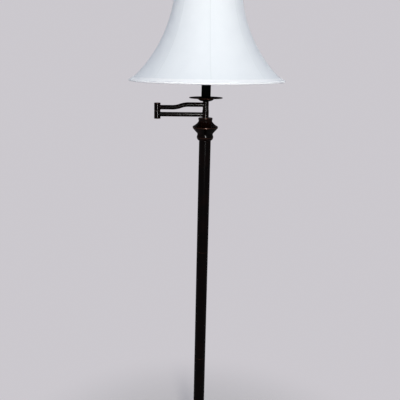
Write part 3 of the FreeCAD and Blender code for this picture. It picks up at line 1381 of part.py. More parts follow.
# ================================================================ all pieces
PIECES = {
    "base_pad": make_base_pad,
    "base_weight": make_base_weight,
    "base_cover": make_base_cover,
    "cable_grommet": make_cable_grommet,
    "base_washer": make_base_washer,
    "base_nut": make_base_nut,
    "base_rod": make_base_rod,
    "column_foot": make_column_foot,
    "pole_plug_bottom": make_pole_plug_bottom,
    "pole_lower": lambda: make_pole_section(0),
    "pole_coupler_lower": lambda: make_pole_coupler(1),
    "pole_middle": lambda: make_pole_section(1),
    "pole_coupler_upper": lambda: make_pole_coupler(2),
    "pole_upper": lambda: make_pole_section(2),
    "pole_plug_top": make_pole_plug_top,
    "column_cap": make_column_cap,
    "pivot_bush": make_pivot_bush,
    "swing_washer": make_swing_washer,
    "stop_pin": make_stop_pin,
    "swing_spindle": make_swing_spindle,
    "stop_washer": make_stop_washer,
    "spindle_nut": make_spindle_nut,
    "lower_barrel": make_lower_barrel,
    "lower_arm_tube": make_lower_arm_tube,
    "elbow_lower": make_elbow_lower,
    "elbow_cap_bottom": lambda: elbow_cap(ELBOW_BOTTOM, -1),
    "elbow_stud": make_elbow_stud,
    "elbow_washer": make_elbow_washer,
    "elbow_nut": make_elbow_nut,
    "elbow_upper": make_elbow_upper,
    "elbow_cap_top": lambda: elbow_cap(ELBOW_TOP, 1),
    "upper_arm_tube": make_upper_arm_tube,
    "upper_barrel": make_upper_barrel,
    "stem_rod": make_stem_rod,
    "drip_pan": make_drip_pan,
    "tube_seat": make_tube_seat,
    "candle_tube": make_candle_tube,
    "tube_cap": make_tube_cap,
    "harp_saddle": make_harp_saddle,
    "harp_sleeve_left": lambda: make_harp_sleeve(-1),
    "harp_sleeve_right": lambda: make_harp_sleeve(1),
    "harp": harp_wire,
    "harp_post": make_harp_post,
    "socket_cap": make_socket_cap,
    "socket_shell": make_socket_shell,
    "socket_liner": make_socket_liner,
    "socket_block": make_socket_block,
    "screw_shell": make_screw_shell,
    "bulb_base": make_bulb_base,
    "bulb_globe": make_bulb_globe,
    "switch_stem": make_switch_stem,
    "switch_knob": make_switch_knob,
    "shade_fabric": make_shade_fabric,
    "shade_trim_bottom": make_shade_trim_bottom,
    "shade_trim_top": make_shade_trim_top,
    "shade_ring_bottom": lambda: wire_ring(bottom_ring_place()),
    "shade_ring_top": lambda: wire_ring(top_ring_place()),
    "shade_ribs": make_shade_ribs,
    "shade_spider": make_shade_spider,
    "finial": make_finial,
}

os.makedirs("parts", exist_ok=True)
for name, make in PIECES.items():
    piece = make()
    if not piece.isValid():
        raise ValueError(name + " is not a valid solid")
    piece.exportStep("parts/" + name + ".step")
    box = piece.BoundBox
    print(
        f"{name:20s} {len(piece.Solids)} solids {piece.Volume / 1000:10.3f} cm3 "
        f"x {box.XMin:8.2f} {box.XMax:8.2f}  y {box.YMin:8.2f} {box.YMax:8.2f}  "
        f"z {box.ZMin:8.2f} {box.ZMax:8.2f}"
    )
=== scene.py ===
"""Looks of the swing-arm floor lamp: cloth bell shade, dark rubbed bronze, brass fittings.

Lengths are in metres and angles in radians unless a name says otherwise. The floor is z = 0, the
pole stands on the Z axis and -Y is the front.
"""
import json
import math

import bpy
import numpy as np
from mathutils import Matrix, Vector


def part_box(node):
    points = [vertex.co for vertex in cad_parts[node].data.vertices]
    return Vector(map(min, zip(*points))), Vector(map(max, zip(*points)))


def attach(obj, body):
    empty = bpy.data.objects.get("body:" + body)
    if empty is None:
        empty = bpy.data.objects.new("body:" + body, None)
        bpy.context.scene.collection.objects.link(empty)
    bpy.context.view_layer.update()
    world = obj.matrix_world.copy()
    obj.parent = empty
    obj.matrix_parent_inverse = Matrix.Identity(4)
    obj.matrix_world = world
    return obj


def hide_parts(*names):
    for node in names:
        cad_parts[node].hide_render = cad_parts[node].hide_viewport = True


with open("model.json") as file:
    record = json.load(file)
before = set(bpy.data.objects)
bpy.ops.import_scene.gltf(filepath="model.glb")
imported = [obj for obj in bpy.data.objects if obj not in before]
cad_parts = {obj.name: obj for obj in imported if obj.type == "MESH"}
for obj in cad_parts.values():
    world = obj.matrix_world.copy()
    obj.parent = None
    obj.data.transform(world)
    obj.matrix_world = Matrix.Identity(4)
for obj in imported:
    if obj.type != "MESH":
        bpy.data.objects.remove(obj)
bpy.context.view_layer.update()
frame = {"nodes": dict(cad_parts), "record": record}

NODES = frame["nodes"]
SUBPARTS = frame["record"]["subparts"]

# ---------------------------------------------------------------- places read from the frame
CAP_LOW, CAP_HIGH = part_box("column_cap")
CLOTH_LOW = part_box("shade_fabric")[0]
PAN_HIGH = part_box("drip_pan")[1]
ELBOW_LOW, ELBOW_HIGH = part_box("elbow_lower")
ELBOW_TOP_LOW, ELBOW_TOP_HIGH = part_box("elbow_upper")
LOWER_ARM_LOW, LOWER_ARM_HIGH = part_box("lower_arm_tube")
UPPER_ARM_LOW, UPPER_ARM_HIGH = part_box("upper_arm_tube")
LOWER_POST_LOW, LOWER_POST_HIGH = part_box("lower_barrel")
UPPER_POST_LOW, UPPER_POST_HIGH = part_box("upper_barrel")
COVER_LOW, COVER_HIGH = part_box("base_cover")
FOOT_LOW, FOOT_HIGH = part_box("column_foot")
POLE_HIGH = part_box("pole_lower")[1]
SEAM_LOW, SEAM_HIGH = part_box("pole_middle")
FINIAL_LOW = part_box("finial")[0]

ELBOW_X = (ELBOW_LOW.x + ELBOW_HIGH.x) / 2
ARM_RADIUS = LOWER_ARM_HIGH.y
LOWER_POST_RADIUS = LOWER_POST_HIGH.y
UPPER_POST_RADIUS = UPPER_POST_HIGH.y
ELBOW_RADIUS = ELBOW_HIGH.y

# ---------------------------------------------------------------- shade, as the CAD draws it
SHADE_HEIGHT = 0.2794
RIM_RADIUS = 0.205
KICK_WIDTH = 0.016  # how far the kick at the rim reaches past the end of the skirt
KICK_BEND = 0.060
SKIRT_LEAN = math.radians(46.0)  # from upright, where the skirt meets the kick
WAIST_RADIUS = 0.0835
TOP_RADIUS = 0.0855
TOP_FLARE = 0.020
CLOTH_THICKNESS = 0.001
GORES = 8


# ================================================================ shader nodes
def put(tree, kind, inputs=None, **settings):
    """A node of that kind. inputs gives a socket's value, or the output socket that feeds it."""
    made = tree.nodes.new(kind)
    for name, value in settings.items():
        setattr(made, name, value)
    for name, value in (inputs or {}).items():
        feed(tree, made.inputs[name], value)
    return made


def feed(tree, socket, value):
    """Links an output socket to this one, or sets it to a value."""
    if isinstance(value, bpy.types.NodeSocket):
        tree.links.new(value, socket)
    else:
        socket.default_value = value


def maths(tree, operation, first, second=0.0, third=0.0, clamp=False):
    """Output of a Math node."""
    made = put(tree, "ShaderNodeMath", {0: first, 1: second, 2: third}, operation=operation)
    made.use_clamp = clamp
    return made.outputs[0]


def diagonal(tree, first, second):
    """Length of the diagonal over two sides: the root of the sum of their squares."""
    square = maths(tree, "MULTIPLY", second, second)
    return maths(tree, "SQRT", maths(tree, "MULTIPLY_ADD", first, first, square))


def stretched(tree, place, factors):
    """Place with each axis scaled by its factor."""
    return put(tree, "ShaderNodeVectorMath", {0: place, 1: factors}, operation="MULTIPLY").outputs[0]


def step_between(tree, value, low, high, floor=0.0, ceiling=1.0):
    """Smooth step from floor to ceiling as the value goes from low to high."""
    made = put(
        tree,
        "ShaderNodeMapRange",
        {"Value": value, "From Min": low, "From Max": high, "To Min": floor, "To Max": ceiling},
        interpolation_type="SMOOTHSTEP",
    )
    return made.outputs["Result"]


def blended(tree, share, first, second):
    """Colour that goes from the first to the second with the share."""
    made = put(tree, "ShaderNodeMix", data_type="RGBA")
    feed(tree, made.inputs["Factor"], share)
    feed(tree, made.inputs["A"], first)
    feed(tree, made.inputs["B"], second)
    return made.outputs["Result"]


def noise(tree, place, size, detail=2.0, roughness=0.5):
    """Noise whose blotches are about that size."""
    inputs = {"Vector": place, "Scale": 1.0 / size, "Detail": detail, "Roughness": roughness}
    return put(tree, "ShaderNodeTexNoise", inputs).outputs["Fac"]


def group_of(name, inputs, outputs):
    """An empty shader group with its sockets, and its two end nodes."""
    tree = bpy.data.node_groups.new(name, "ShaderNodeTree")
    for label, kind, value in inputs:
        socket = tree.interface.new_socket(label, in_out="INPUT", socket_type=kind)
        if value is not None:
            socket.default_value = value
    for label, kind in outputs:
        tree.interface.new_socket(label, in_out="OUTPUT", socket_type=kind)
    return tree, tree.nodes.new("NodeGroupInput"), tree.nodes.new("NodeGroupOutput")


def use(tree, group, **inputs):
    """A shared effect placed in a material. Underscores in a name stand for spaces."""
    made = tree.nodes.new("ShaderNodeGroup")
    made.node_tree = group
    for name, value in inputs.items():
        feed(tree, made.inputs[name.replace("_", " ")], value)
    return made


VECTOR = "NodeSocketVector"
FLOAT = "NodeSocketFloat"
COLOUR = "NodeSocketColor"


def make_worn_ring_group():
    """Mask that is 1 on a circle about an upright axis and fades out at a reach from it. The distance
    is that of the point (distance from the axis, height) from the circle's own such point."""
    tree, inside, outside = group_of(
        "worn_ring",
        [("Place", VECTOR, None), ("Axis X", FLOAT, 0.0), ("Radius", FLOAT, 0.01)]
        + [("Height", FLOAT, 0.0), ("Reach", FLOAT, 0.002)],
        [("Mask", FLOAT)],
    )
    split = put(tree, "ShaderNodeSeparateXYZ", {"Vector": inside.outputs["Place"]})
    across = maths(tree, "SUBTRACT", split.outputs["X"], inside.outputs["Axis X"])
    out = diagonal(tree, split.outputs["Y"], across)
    beyond = maths(tree, "SUBTRACT", out, inside.outputs["Radius"])
    above = maths(tree, "SUBTRACT", split.outputs["Z"], inside.outputs["Height"])
    share = maths(tree, "DIVIDE", diagonal(tree, above, beyond), inside.outputs["Reach"])
    tree.links.new(step_between(tree, share, 0.0, 1.0, 1.0, 0.0), outside.inputs["Mask"])
    return tree


SPECKLE_SIZE = 0.0016
BLOTCH_SIZE = 0.028
PAINT_GRAIN_SIZE = 0.0006


def make_patina_group():
    """Dark paint over brown metal. The wear mask is broken up by noise before it lets the metal
    through, and slow blotches warm and cool the paint."""
    tree, inside, outside = group_of(
        "patina",
        [("Place", VECTOR, None), ("Wear", FLOAT, 0.0), ("Paint", COLOUR, (0.01, 0.01, 0.01, 1.0))]
        + [("Warm Paint", COLOUR, (0.02, 0.01, 0.01, 1.0)), ("Metal", COLOUR, (0.2, 0.1, 0.05, 1.0))]
        + [("Roughness", FLOAT, 0.4), ("Warmth", FLOAT, 0.5)],
        [("Color", COLOUR), ("Roughness", FLOAT), ("Metallic", FLOAT), ("Height", FLOAT)],
    )
    place = inside.outputs["Place"]
    speckle = noise(tree, place, SPECKLE_SIZE, 4.0, 0.65)
    blotch = noise(tree, place, BLOTCH_SIZE, 3.0, 0.55)
    grain = noise(tree, place, PAINT_GRAIN_SIZE, 2.0, 0.5)
    broken = maths(tree, "MULTIPLY_ADD", speckle, 1.3, -0.65)
    worn = step_between(tree, maths(tree, "ADD", inside.outputs["Wear"], broken), 0.42, 0.85)
    worn = maths(tree, "MULTIPLY", worn, step_between(tree, inside.outputs["Wear"], 0.02, 0.3))
    warm = maths(tree, "MULTIPLY", step_between(tree, blotch, 0.38, 0.66), inside.outputs["Warmth"])
    paint = blended(tree, warm, inside.outputs["Paint"], inside.outputs["Warm Paint"])
    tree.links.new(blended(tree, worn, paint, inside.outputs["Metal"]), outside.inputs["Color"])
    least = maths(tree, "SUBTRACT", inside.outputs["Roughness"], 0.08)
    dull = maths(tree, "MULTIPLY_ADD", blotch, 0.16, least)
    dull = maths(tree, "MULTIPLY_ADD", grain, 0.08, dull)
    tree.links.new(maths(tree, "MULTIPLY_ADD", worn, -0.08, dull), outside.inputs["Roughness"])
    tree.links.new(maths(tree, "MULTIPLY", worn, 0.75), outside.inputs["Metallic"])
    relief = maths(tree, "MULTIPLY_ADD", worn, -0.5, maths(tree, "MULTIPLY", grain, 0.6))
    relief = maths(tree, "MULTIPLY_ADD", speckle, 0.4, relief)
    tree.links.new(relief, outside.inputs["Height"])
    return tree


SLUB_WIDTH = 0.0012
SLUB_STRETCH = (1.0, 0.06, 1.0)  # slubs run long along the warp


def make_weave_group():
    """Plain weave in the cloth's own flat coordinates. Each thread is a half round across its width
    and dips under every second crossing thread, so warp and weft take turns on top."""
    tree, inside, outside = group_of(
        "plain_weave",
        [("Place", VECTOR, None), ("Pitch", FLOAT, 0.0005), ("Slub", FLOAT, 0.5)],
        [("Height", FLOAT), ("Shade", FLOAT)],
    )
    split = put(tree, "ShaderNodeSeparateXYZ", {"Vector": inside.outputs["Place"]})
    across = maths(tree, "DIVIDE", split.outputs["X"], inside.outputs["Pitch"])
    along = maths(tree, "DIVIDE", split.outputs["Y"], inside.outputs["Pitch"])

    def thread(side, run, lag):
        turn = maths(tree, "MULTIPLY", maths(tree, "FLOOR", side), math.pi)
        wave = maths(tree, "MULTIPLY_ADD", run, math.pi, maths(tree, "ADD", turn, lag))
        lift = maths(tree, "MULTIPLY_ADD", maths(tree, "SINE", wave), 0.5, 0.5)
        crown = maths(tree, "SINE", maths(tree, "MULTIPLY", maths(tree, "FRACT", side), math.pi))
        return maths(tree, "MULTIPLY", crown, lift)

    warp = thread(across, along, 0.0)
    weft = thread(along, across, math.pi)
    height = maths(tree, "MAXIMUM", warp, weft)
    slub = noise(tree, stretched(tree, inside.outputs["Place"], SLUB_STRETCH), SLUB_WIDTH, 3.0, 0.6)
    thick = maths(tree, "MULTIPLY", maths(tree, "SUBTRACT", slub, 0.5), inside.outputs["Slub"])
    tree.links.new(maths(tree, "ADD", height, thick), outside.inputs["Height"])
    shade = maths(tree, "MULTIPLY_ADD", height, 0.35, maths(tree, "ADD", thick, 0.6))
    tree.links.new(shade, outside.inputs["Shade"])
    return tree


WORN_RING = make_worn_ring_group()
PATINA = make_patina_group()
WEAVE = make_weave_group()


# ================================================================ materials
def new_material(name, **sockets):
    """A material with one Principled shader, and its tree, shader and Object coordinates."""
    made = bpy.data.materials.new(name)
    made.use_nodes = True
    tree = made.node_tree
    shader = tree.nodes["Principled BSDF"]
    for label, value in sockets.items():
        shader.inputs[label.replace("_", " ")].default_value = value
    place = put(tree, "ShaderNodeTexCoord").outputs["Object"]
    return made, tree, shader, place


def bump(tree, shader, height, distance, strength=1.0):
    """Relief of that depth, in metres, from a height between 0 and 1."""
    made = put(tree, "ShaderNodeBump", {"Height": height, "Distance": distance, "Strength": strength})
    tree.links.new(made.outputs["Normal"], shader.inputs["Normal"])


BRONZE_PAINT = (0.0009, 0.0004, 0.0003, 1.0)
BRONZE_WARM = (0.0048, 0.0012, 0.0006, 1.0)
BRONZE_RUB = (0.026, 0.0105, 0.0065, 1.0)
BRONZE_RELIEF = 0.000014
COAT_ROUGHNESS = 0.17


def bronze(name, rings=(), warmth=0.6, roughness=0.36, axis_x=0.0, wax=0.10):
    """Oil-rubbed bronze under a thin coat of wax. rings are the edges where the paint is rubbed thin:
    (radius, height, reach)."""
    made, tree, shader, place = new_material(name, Specular_IOR_Level=0.0, Coat_Weight=wax)
    wear = 0.0
    for radius, height, reach in rings:
        ring = use(tree, WORN_RING, Place=place, Axis_X=axis_x, Radius=radius, Height=height, Reach=reach)
        wear = maths(tree, "MAXIMUM", ring.outputs["Mask"], wear)
    coat = use(tree, PATINA, Place=place, Wear=wear, Paint=BRONZE_PAINT, Warm_Paint=BRONZE_WARM)
    feed(tree, coat.inputs["Metal"], BRONZE_RUB)
    feed(tree, coat.inputs["Roughness"], roughness)
    feed(tree, coat.inputs["Warmth"], warmth)
    tree.links.new(coat.outputs["Color"], shader.inputs["Base Color"])
    tree.links.new(coat.outputs["Roughness"], shader.inputs["Roughness"])
    tree.links.new(coat.outputs["Metallic"], shader.inputs["Metallic"])
    feed(tree, shader.inputs["Coat Roughness"], COAT_ROUGHNESS)
    bump(tree, shader, coat.outputs["Height"], BRONZE_RELIEF)
    return made


SCRATCH_WIDTH = 0.0005


def plated(name, dark, light, roughness, size=0.012, relief=0.00003):
    """Plated or bare metal: cloudy tarnish between two tones, and fine scratches."""
    made, tree, shader, place = new_material(name, Metallic=1.0)
    cloud = noise(tree, place, size, 4.0, 0.6)
    scratch = noise(tree, place, SCRATCH_WIDTH, 5.0, 0.7)
    tone = blended(tree, step_between(tree, cloud, 0.3, 0.7), dark, light)
    tree.links.new(tone, shader.inputs["Base Color"])
    dull = maths(tree, "MULTIPLY_ADD", cloud, -0.12, roughness + 0.06)
    tree.links.new(maths(tree, "MULTIPLY_ADD", scratch, 0.08, dull), shader.inputs["Roughness"])
    bump(tree, shader, scratch, relief)
    return made


CLOUD_TO_GRAIN = 18


def moulded(name, colour, roughness, size=0.0008, relief=0.00005, shine=0.35):
    """Moulded plastic, paint or board: one colour with a faint cloud, and a fine grain."""
    made, tree, shader, place = new_material(name, Specular_IOR_Level=shine)
    cloud = noise(tree, place, size * CLOUD_TO_GRAIN, 3.0, 0.5)
    grain = noise(tree, place, size, 3.0, 0.6)
    lighter = tuple(min(1.0, 1.5 * c + 0.0004) for c in colour[:3]) + (1.0,)
    tone = blended(tree, step_between(tree, cloud, 0.35, 0.75), colour, lighter)
    tree.links.new(tone, shader.inputs["Base Color"])
    tree.links.new(maths(tree, "MULTIPLY_ADD", grain, 0.12, roughness - 0.06), shader.inputs["Roughness"])
    bump(tree, shader, grain, relief)
    return made


FIBRE_WIDTH = 0.0005
FELT_DARK = (0.012, 0.012, 0.012, 1.0)
FELT_LIGHT = (0.05, 0.05, 0.048, 1.0)


def felt():
    """Pressed wool: matted fibres as stretched noise in two directions."""
    made, tree, shader, place = new_material(
        "felt", Roughness=0.95, Sheen_Weight=0.3, Specular_IOR_Level=0.1
    )
    long_way = noise(tree, stretched(tree, place, (0.15, 1.0, 1.0)), FIBRE_WIDTH, 4.0, 0.7)
    cross_way = noise(tree, stretched(tree, place, (1.0, 0.15, 1.0)), FIBRE_WIDTH, 4.0, 0.7)
    fibres = maths(tree, "MAXIMUM", long_way, cross_way)
    tone = blended(tree, step_between(tree, fibres, 0.45, 0.8), FELT_DARK, FELT_LIGHT)
    tree.links.new(tone, shader.inputs["Base Color"])
    bump(tree, shader, fibres, 0.0004)
    return made


IRON_GREY = (0.05, 0.05, 0.052, 1.0)
IRON_RUST = (0.075, 0.048, 0.035, 1.0)
IRON_PIT_SIZE = 0.0022


def cast_iron():
    """Sand-cast surface: coarse pits and a rusty bloom."""
    made, tree, shader, place = new_material("iron", Metallic=0.6)
    pits = noise(tree, place, IRON_PIT_SIZE, 5.0, 0.65)
    bloom = noise(tree, place, 0.03, 4.0, 0.6)
    tone = blended(tree, step_between(tree, bloom, 0.45, 0.7), IRON_GREY, IRON_RUST)
    tree.links.new(tone, shader.inputs["Base Color"])
    tree.links.new(maths(tree, "MULTIPLY_ADD", pits, 0.3, 0.55), shader.inputs["Roughness"])
    bump(tree, shader, pits, 0.0006)
    return made


GLASS_SHADED = (0.84, 0.85, 0.84, 1.0)
GLASS_PALE = (0.9, 0.9, 0.89, 1.0)


def frosted_glass():
    """Soft white bulb: etched glass with a fine frost and a slow haze between two pale tones."""
    made, tree, shader, place = new_material(
        "bulb_glass", Specular_IOR_Level=0.5, Coat_Weight=0.6, Coat_Roughness=0.08, Subsurface_Weight=0.25
    )
    frost = noise(tree, place, 0.0007, 3.0, 0.6)
    haze = noise(tree, place, 0.02, 2.0, 0.5)
    tone = blended(tree, step_between(tree, haze, 0.3, 0.7), GLASS_SHADED, GLASS_PALE)
    tree.links.new(tone, shader.inputs["Base Color"])
    tree.links.new(maths(tree, "MULTIPLY_ADD", frost, 0.2, 0.3), shader.inputs["Roughness"])
    bump(tree, shader, frost, 0.00003)
    return made


def cloth(name, colour, shadow, pitch, relief, slub=0.5, roughness=0.85):
    """White woven cloth, read in the flat coordinates of the piece's own cut. Along a seam, where the
    mesh's own mask is 1, painted shade darkens the cloth to a faint line, which stands in for the shade
    in the seam's crease."""
    made, tree, shader, _ = new_material(
        name, Sheen_Weight=0.12, Sheen_Roughness=0.4, Specular_IOR_Level=0.2
    )
    flat = put(tree, "ShaderNodeUVMap", uv_map=CUT_MAP).outputs["UV"]
    weave = use(tree, WEAVE, Place=flat, Pitch=pitch, Slub=slub)
    soil = noise(tree, flat, SOIL_SIZE, 3.0, 0.5)
    tone = blended(tree, maths(tree, "MULTIPLY", weave.outputs["Shade"], 1.0, clamp=True), shadow, colour)
    tone = blended(tree, step_between(tree, soil, 0.3, 0.75, 0.0, 0.35), tone, shadow)
    # painted shade: a faint darker line along each seam's crease
    seam = put(tree, "ShaderNodeAttribute", attribute_name=SEAM_SHADE_MASK).outputs["Fac"]
    tone = blended(tree, maths(tree, "MULTIPLY", seam, SEAM_SHADE_STRENGTH), tone, SEAM_SHADE_TONE)
    tree.links.new(tone, shader.inputs["Base Color"])
    height = weave.outputs["Height"]
    tree.links.new(maths(tree, "MULTIPLY_ADD", height, -0.1, roughness), shader.inputs["Roughness"])
    bump(tree, shader, height, relief)
    return made


CUT_MAP = "cut"
SEAM_SHADE_MASK = "seam"
# tone and strength of the painted shade along each seam's crease
SEAM_SHADE_TONE = (0.55, 0.60, 0.60, 1.0)
SEAM_SHADE_STRENGTH = 0.22
SOIL_SIZE = 0.045
# The band's tape is whiter than the shade's cloth. Part of that difference is painted light, standing in
# for the band catching more light than the cloth above it.
SHADE_CLOTH = cloth("shade_cloth", (0.84, 0.87, 0.89, 1), (0.77, 0.80, 0.83, 1), 0.00055, 0.00010)
TRIM_CLOTH = cloth("trim_cloth", (0.93, 0.94, 0.95, 1), (0.88, 0.90, 0.91, 1), 0.00045, 0.00008, 0.3)
THREAD = moulded("thread", (0.72, 0.75, 0.77, 1.0), 0.8, 0.0004, 0.00004)

FINISHES = {
    "felt": felt(),
    "iron": cast_iron(),
    "black_plastic": moulded("black_plastic", (0.010, 0.010, 0.010, 1), 0.5),
    "steel": plated("steel", (0.42, 0.42, 0.43, 1), (0.58, 0.58, 0.60, 1), 0.34),
    "nylon": moulded("nylon", (0.020, 0.018, 0.016, 1), 0.55),
    "bush_brass": plated("bush_brass", (0.50, 0.33, 0.13, 1), (0.72, 0.52, 0.24, 1), 0.28),
    "black_paint": moulded("black_paint", (0.0008, 0.0008, 0.0013, 1), 0.75, 0.0006, 0.00004, 0.02),
    "harp_brass": plated("harp_brass", (0.22, 0.15, 0.07, 1), (0.46, 0.34, 0.17, 1), 0.33),
    "liner_card": moulded("liner_card", (0.34, 0.26, 0.17, 1), 0.85, 0.0010, 0.00012),
    "phenolic": moulded("phenolic", (0.035, 0.018, 0.012, 1), 0.3),
    "bulb_metal": plated("bulb_metal", (0.60, 0.60, 0.61, 1), (0.78, 0.78, 0.79, 1), 0.25),
    "bulb_glass": frosted_glass(),
    "frame_wire": moulded("frame_wire", (0.74, 0.74, 0.72, 1), 0.42, 0.0012, 0.00006),
}

# ---------------------------------------------------------------- edges where the bronze is rubbed
# Each edge has its radius, or how far it lies inside the piece's widest radius, and how far it lies
# above the piece's foot or below its top. A wear is how far the rubbing reaches from its edge.
COVER_RIM_INSET = 0.0012
COVER_RIM_UP = 0.0145
COVER_STEP_INSET = 0.012
COVER_STEP_UP = 0.019
COVER_CROWN_RADIUS = 0.048
COVER_CROWN_DOWN = 0.0006
COVER_CROWN_WEAR = 0.0026
FOOT_EDGE_INSET = 0.0008
FOOT_EDGE_UP = 0.002
FOOT_EDGE_WEAR = 0.0028
FOOT_BEAD_RADIUS = 0.025
FOOT_BEAD_UP = 0.0285
FOOT_NECK_RADIUS = 0.0187
FOOT_NECK_DOWN = 0.0004
FOOT_NECK_WEAR = 0.0014
CAP_RING_DOWN = 0.0256
CAP_RING_WEAR = 0.0022
CAP_LIP_RADIUS = 0.019
CAP_BULGE_RADIUS = 0.0223
CAP_BULGE_UP = 0.0074
CAP_BULGE_WEAR = 0.0018
CAP_HEM_RADIUS = 0.0172
POLE_RADIUS = 0.016
ELBOW_CAP_RADIUS = 0.0088
ELBOW_CAP_PROUD = 0.0006  # its edge lies this far past the barrel's end
PAN_EDGE_INSET = 0.0004
PAN_EDGE_DOWN = 0.001
PAN_WEAR = 0.0024
FINIAL_KNOB_RADIUS = 0.0095
FINIAL_KNOB_UP = 0.017
FINIAL_COLLAR_RADIUS = 0.0084
FINIAL_COLLAR_UP = 0.001
BARREL_WEAR = 0.0011
SEAM_WEAR = 0.0012
EDGE_WEAR = 0.0016
ROUND_WEAR = 0.0030


def worn_barrel(name, radius, low, high, axis_x=0.0):
    """Bronze of an upright barrel that is rubbed at both its ends."""
    return bronze(name, [(radius, low, BARREL_WEAR), (radius, high, BARREL_WEAR)], axis_x=axis_x)


def pole_bronze(name, *seams):
    """Bronze of one length of the pole, rubbed where it meets another at those heights."""
    return bronze(name, [(POLE_RADIUS, z, SEAM_WEAR) for z in seams], 0.35, 0.34)


def elbow_cap_bronze(name, z):
    """Bronze of a cap over one end of the elbow, rubbed round its edge at that height."""
    return bronze(name, [(ELBOW_CAP_RADIUS, z, EDGE_WEAR)], axis_x=ELBOW_X)


BRONZES = {
    "base_cover": bronze(
        "bronze_base",
        [
            (COVER_HIGH.x - COVER_RIM_INSET, COVER_LOW.z + COVER_RIM_UP, ROUND_WEAR),
            (COVER_HIGH.x - COVER_STEP_INSET, COVER_LOW.z + COVER_STEP_UP, EDGE_WEAR),
            (COVER_CROWN_RADIUS, COVER_HIGH.z - COVER_CROWN_DOWN, COVER_CROWN_WEAR),
        ],
    ),
    "column_foot": bronze(
        "bronze_foot",
        [
            (FOOT_HIGH.x - FOOT_EDGE_INSET, FOOT_LOW.z + FOOT_EDGE_UP, FOOT_EDGE_WEAR),
            (FOOT_BEAD_RADIUS, FOOT_LOW.z + FOOT_BEAD_UP, ROUND_WEAR),
            (FOOT_NECK_RADIUS, FOOT_HIGH.z - FOOT_NECK_DOWN, FOOT_NECK_WEAR),
        ],
    ),
    "column_cap": bronze(
        "bronze_cap",
        [
            (CAP_HIGH.x, CAP_HIGH.z - CAP_RING_DOWN, CAP_RING_WEAR),
            (CAP_LIP_RADIUS, CAP_HIGH.z, EDGE_WEAR),
            (CAP_BULGE_RADIUS, CAP_LOW.z + CAP_BULGE_UP, CAP_BULGE_WEAR),
            (CAP_HEM_RADIUS, CAP_LOW.z, SEAM_WEAR),
        ],
        warmth=1.0,
    ),
    "pole_lower": pole_bronze("bronze_pole_lower", POLE_HIGH.z),
    "pole_middle": pole_bronze("bronze_pole_middle", SEAM_LOW.z, SEAM_HIGH.z),
    "pole_upper": pole_bronze("bronze_pole_upper", SEAM_HIGH.z),
    "lower_barrel": worn_barrel(
        "bronze_lower_barrel", LOWER_POST_RADIUS, LOWER_POST_LOW.z, LOWER_POST_HIGH.z
    ),
    "upper_barrel": bronze("bronze_upper_barrel", [(UPPER_POST_RADIUS, UPPER_POST_LOW.z, BARREL_WEAR)]),
    "elbow_lower": worn_barrel("bronze_elbow_lower", ELBOW_RADIUS, ELBOW_LOW.z, ELBOW_HIGH.z, ELBOW_X),
    "elbow_upper": worn_barrel(
        "bronze_elbow_upper", ELBOW_RADIUS, ELBOW_TOP_LOW.z, ELBOW_TOP_HIGH.z, ELBOW_X
    ),
    "elbow_cap_bottom": elbow_cap_bronze("bronze_elbow_cap_bottom", ELBOW_LOW.z - ELBOW_CAP_PROUD),
    "elbow_cap_top": elbow_cap_bronze("bronze_elbow_cap_top", ELBOW_TOP_HIGH.z + ELBOW_CAP_PROUD),
    "drip_pan": bronze(
        "bronze_pan",
        [(PAN_HIGH.x - PAN_EDGE_INSET, PAN_HIGH.z - PAN_EDGE_DOWN, PAN_WEAR)],
        warmth=1.0,
        wax=0.03,
    ),
    "finial": bronze(
        "bronze_finial",
        [
            (FINIAL_KNOB_RADIUS, FINIAL_LOW.z + FINIAL_KNOB_UP, ROUND_WEAR),
            (FINIAL_COLLAR_RADIUS, FINIAL_LOW.z + FINIAL_COLLAR_UP, EDGE_WEAR),
        ],
    ),
}
PLAIN_BRONZE = bronze("bronze_plain")


def dress_cad_nodes():
    """Every CAD node gets the finish of its slot, and each bronze one its own worn edges."""
    for row in SUBPARTS:
        name = row["node"]
        finish = BRONZES.get(name) or FINISHES.get(row["material_slot"], PLAIN_BRONZE)
        for place in NODES[name].material_slots:
            place.material = finish


dress_cad_nodes()


# ================================================================ surfaces
def new_piece(name, points, faces, material, body, cut=None):
    """A smooth mesh from an array of points and one of quads, riding on a body. cut gives each
    face's four corners their flat coordinates."""
    mesh = bpy.data.meshes.new(name)
    mesh.vertices.add(len(points))
    mesh.vertices.foreach_set("co", np.asarray(points, np.float32).ravel())
    mesh.loops.add(faces.size)
    mesh.loops.foreach_set("vertex_index", np.asarray(faces, np.int32).ravel())
    mesh.polygons.add(len(faces))
    mesh.polygons.foreach_set("loop_start", np.arange(0, faces.size, faces.shape[1], dtype=np.int32))
    mesh.polygons.foreach_set("use_smooth", np.ones(len(faces), bool))
    if cut is not None:
        mesh.uv_layers.new(name=CUT_MAP).data.foreach_set("uv", np.asarray(cut, np.float32).ravel())
    mesh.update(calc_edges=True)
    mesh.validate()
    mesh.materials.append(material)
    made = bpy.data.objects.new(name, mesh)
    bpy.context.scene.collection.objects.link(made)
    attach(made, body)
    return made


def ring_faces(rows, columns):
    """Quads of a grid that closes on itself both ways, as on a torus. Rows run along the section and
    columns round the axis, and the quads face outwards when the section runs clockwise as seen with
    the axis on its left."""
    row = np.arange(rows)[:, None]
    column = np.arange(columns)[None, :]
    next_row = (row + 1) % rows
    next_column = (column + 1) % columns
    corners = [row * columns + column, row * columns + next_column]
    corners += [next_row * columns + next_column, next_row * columns + column]
    return np.stack(np.broadcast_arrays(*corners), axis=-1).reshape(-1, 4)


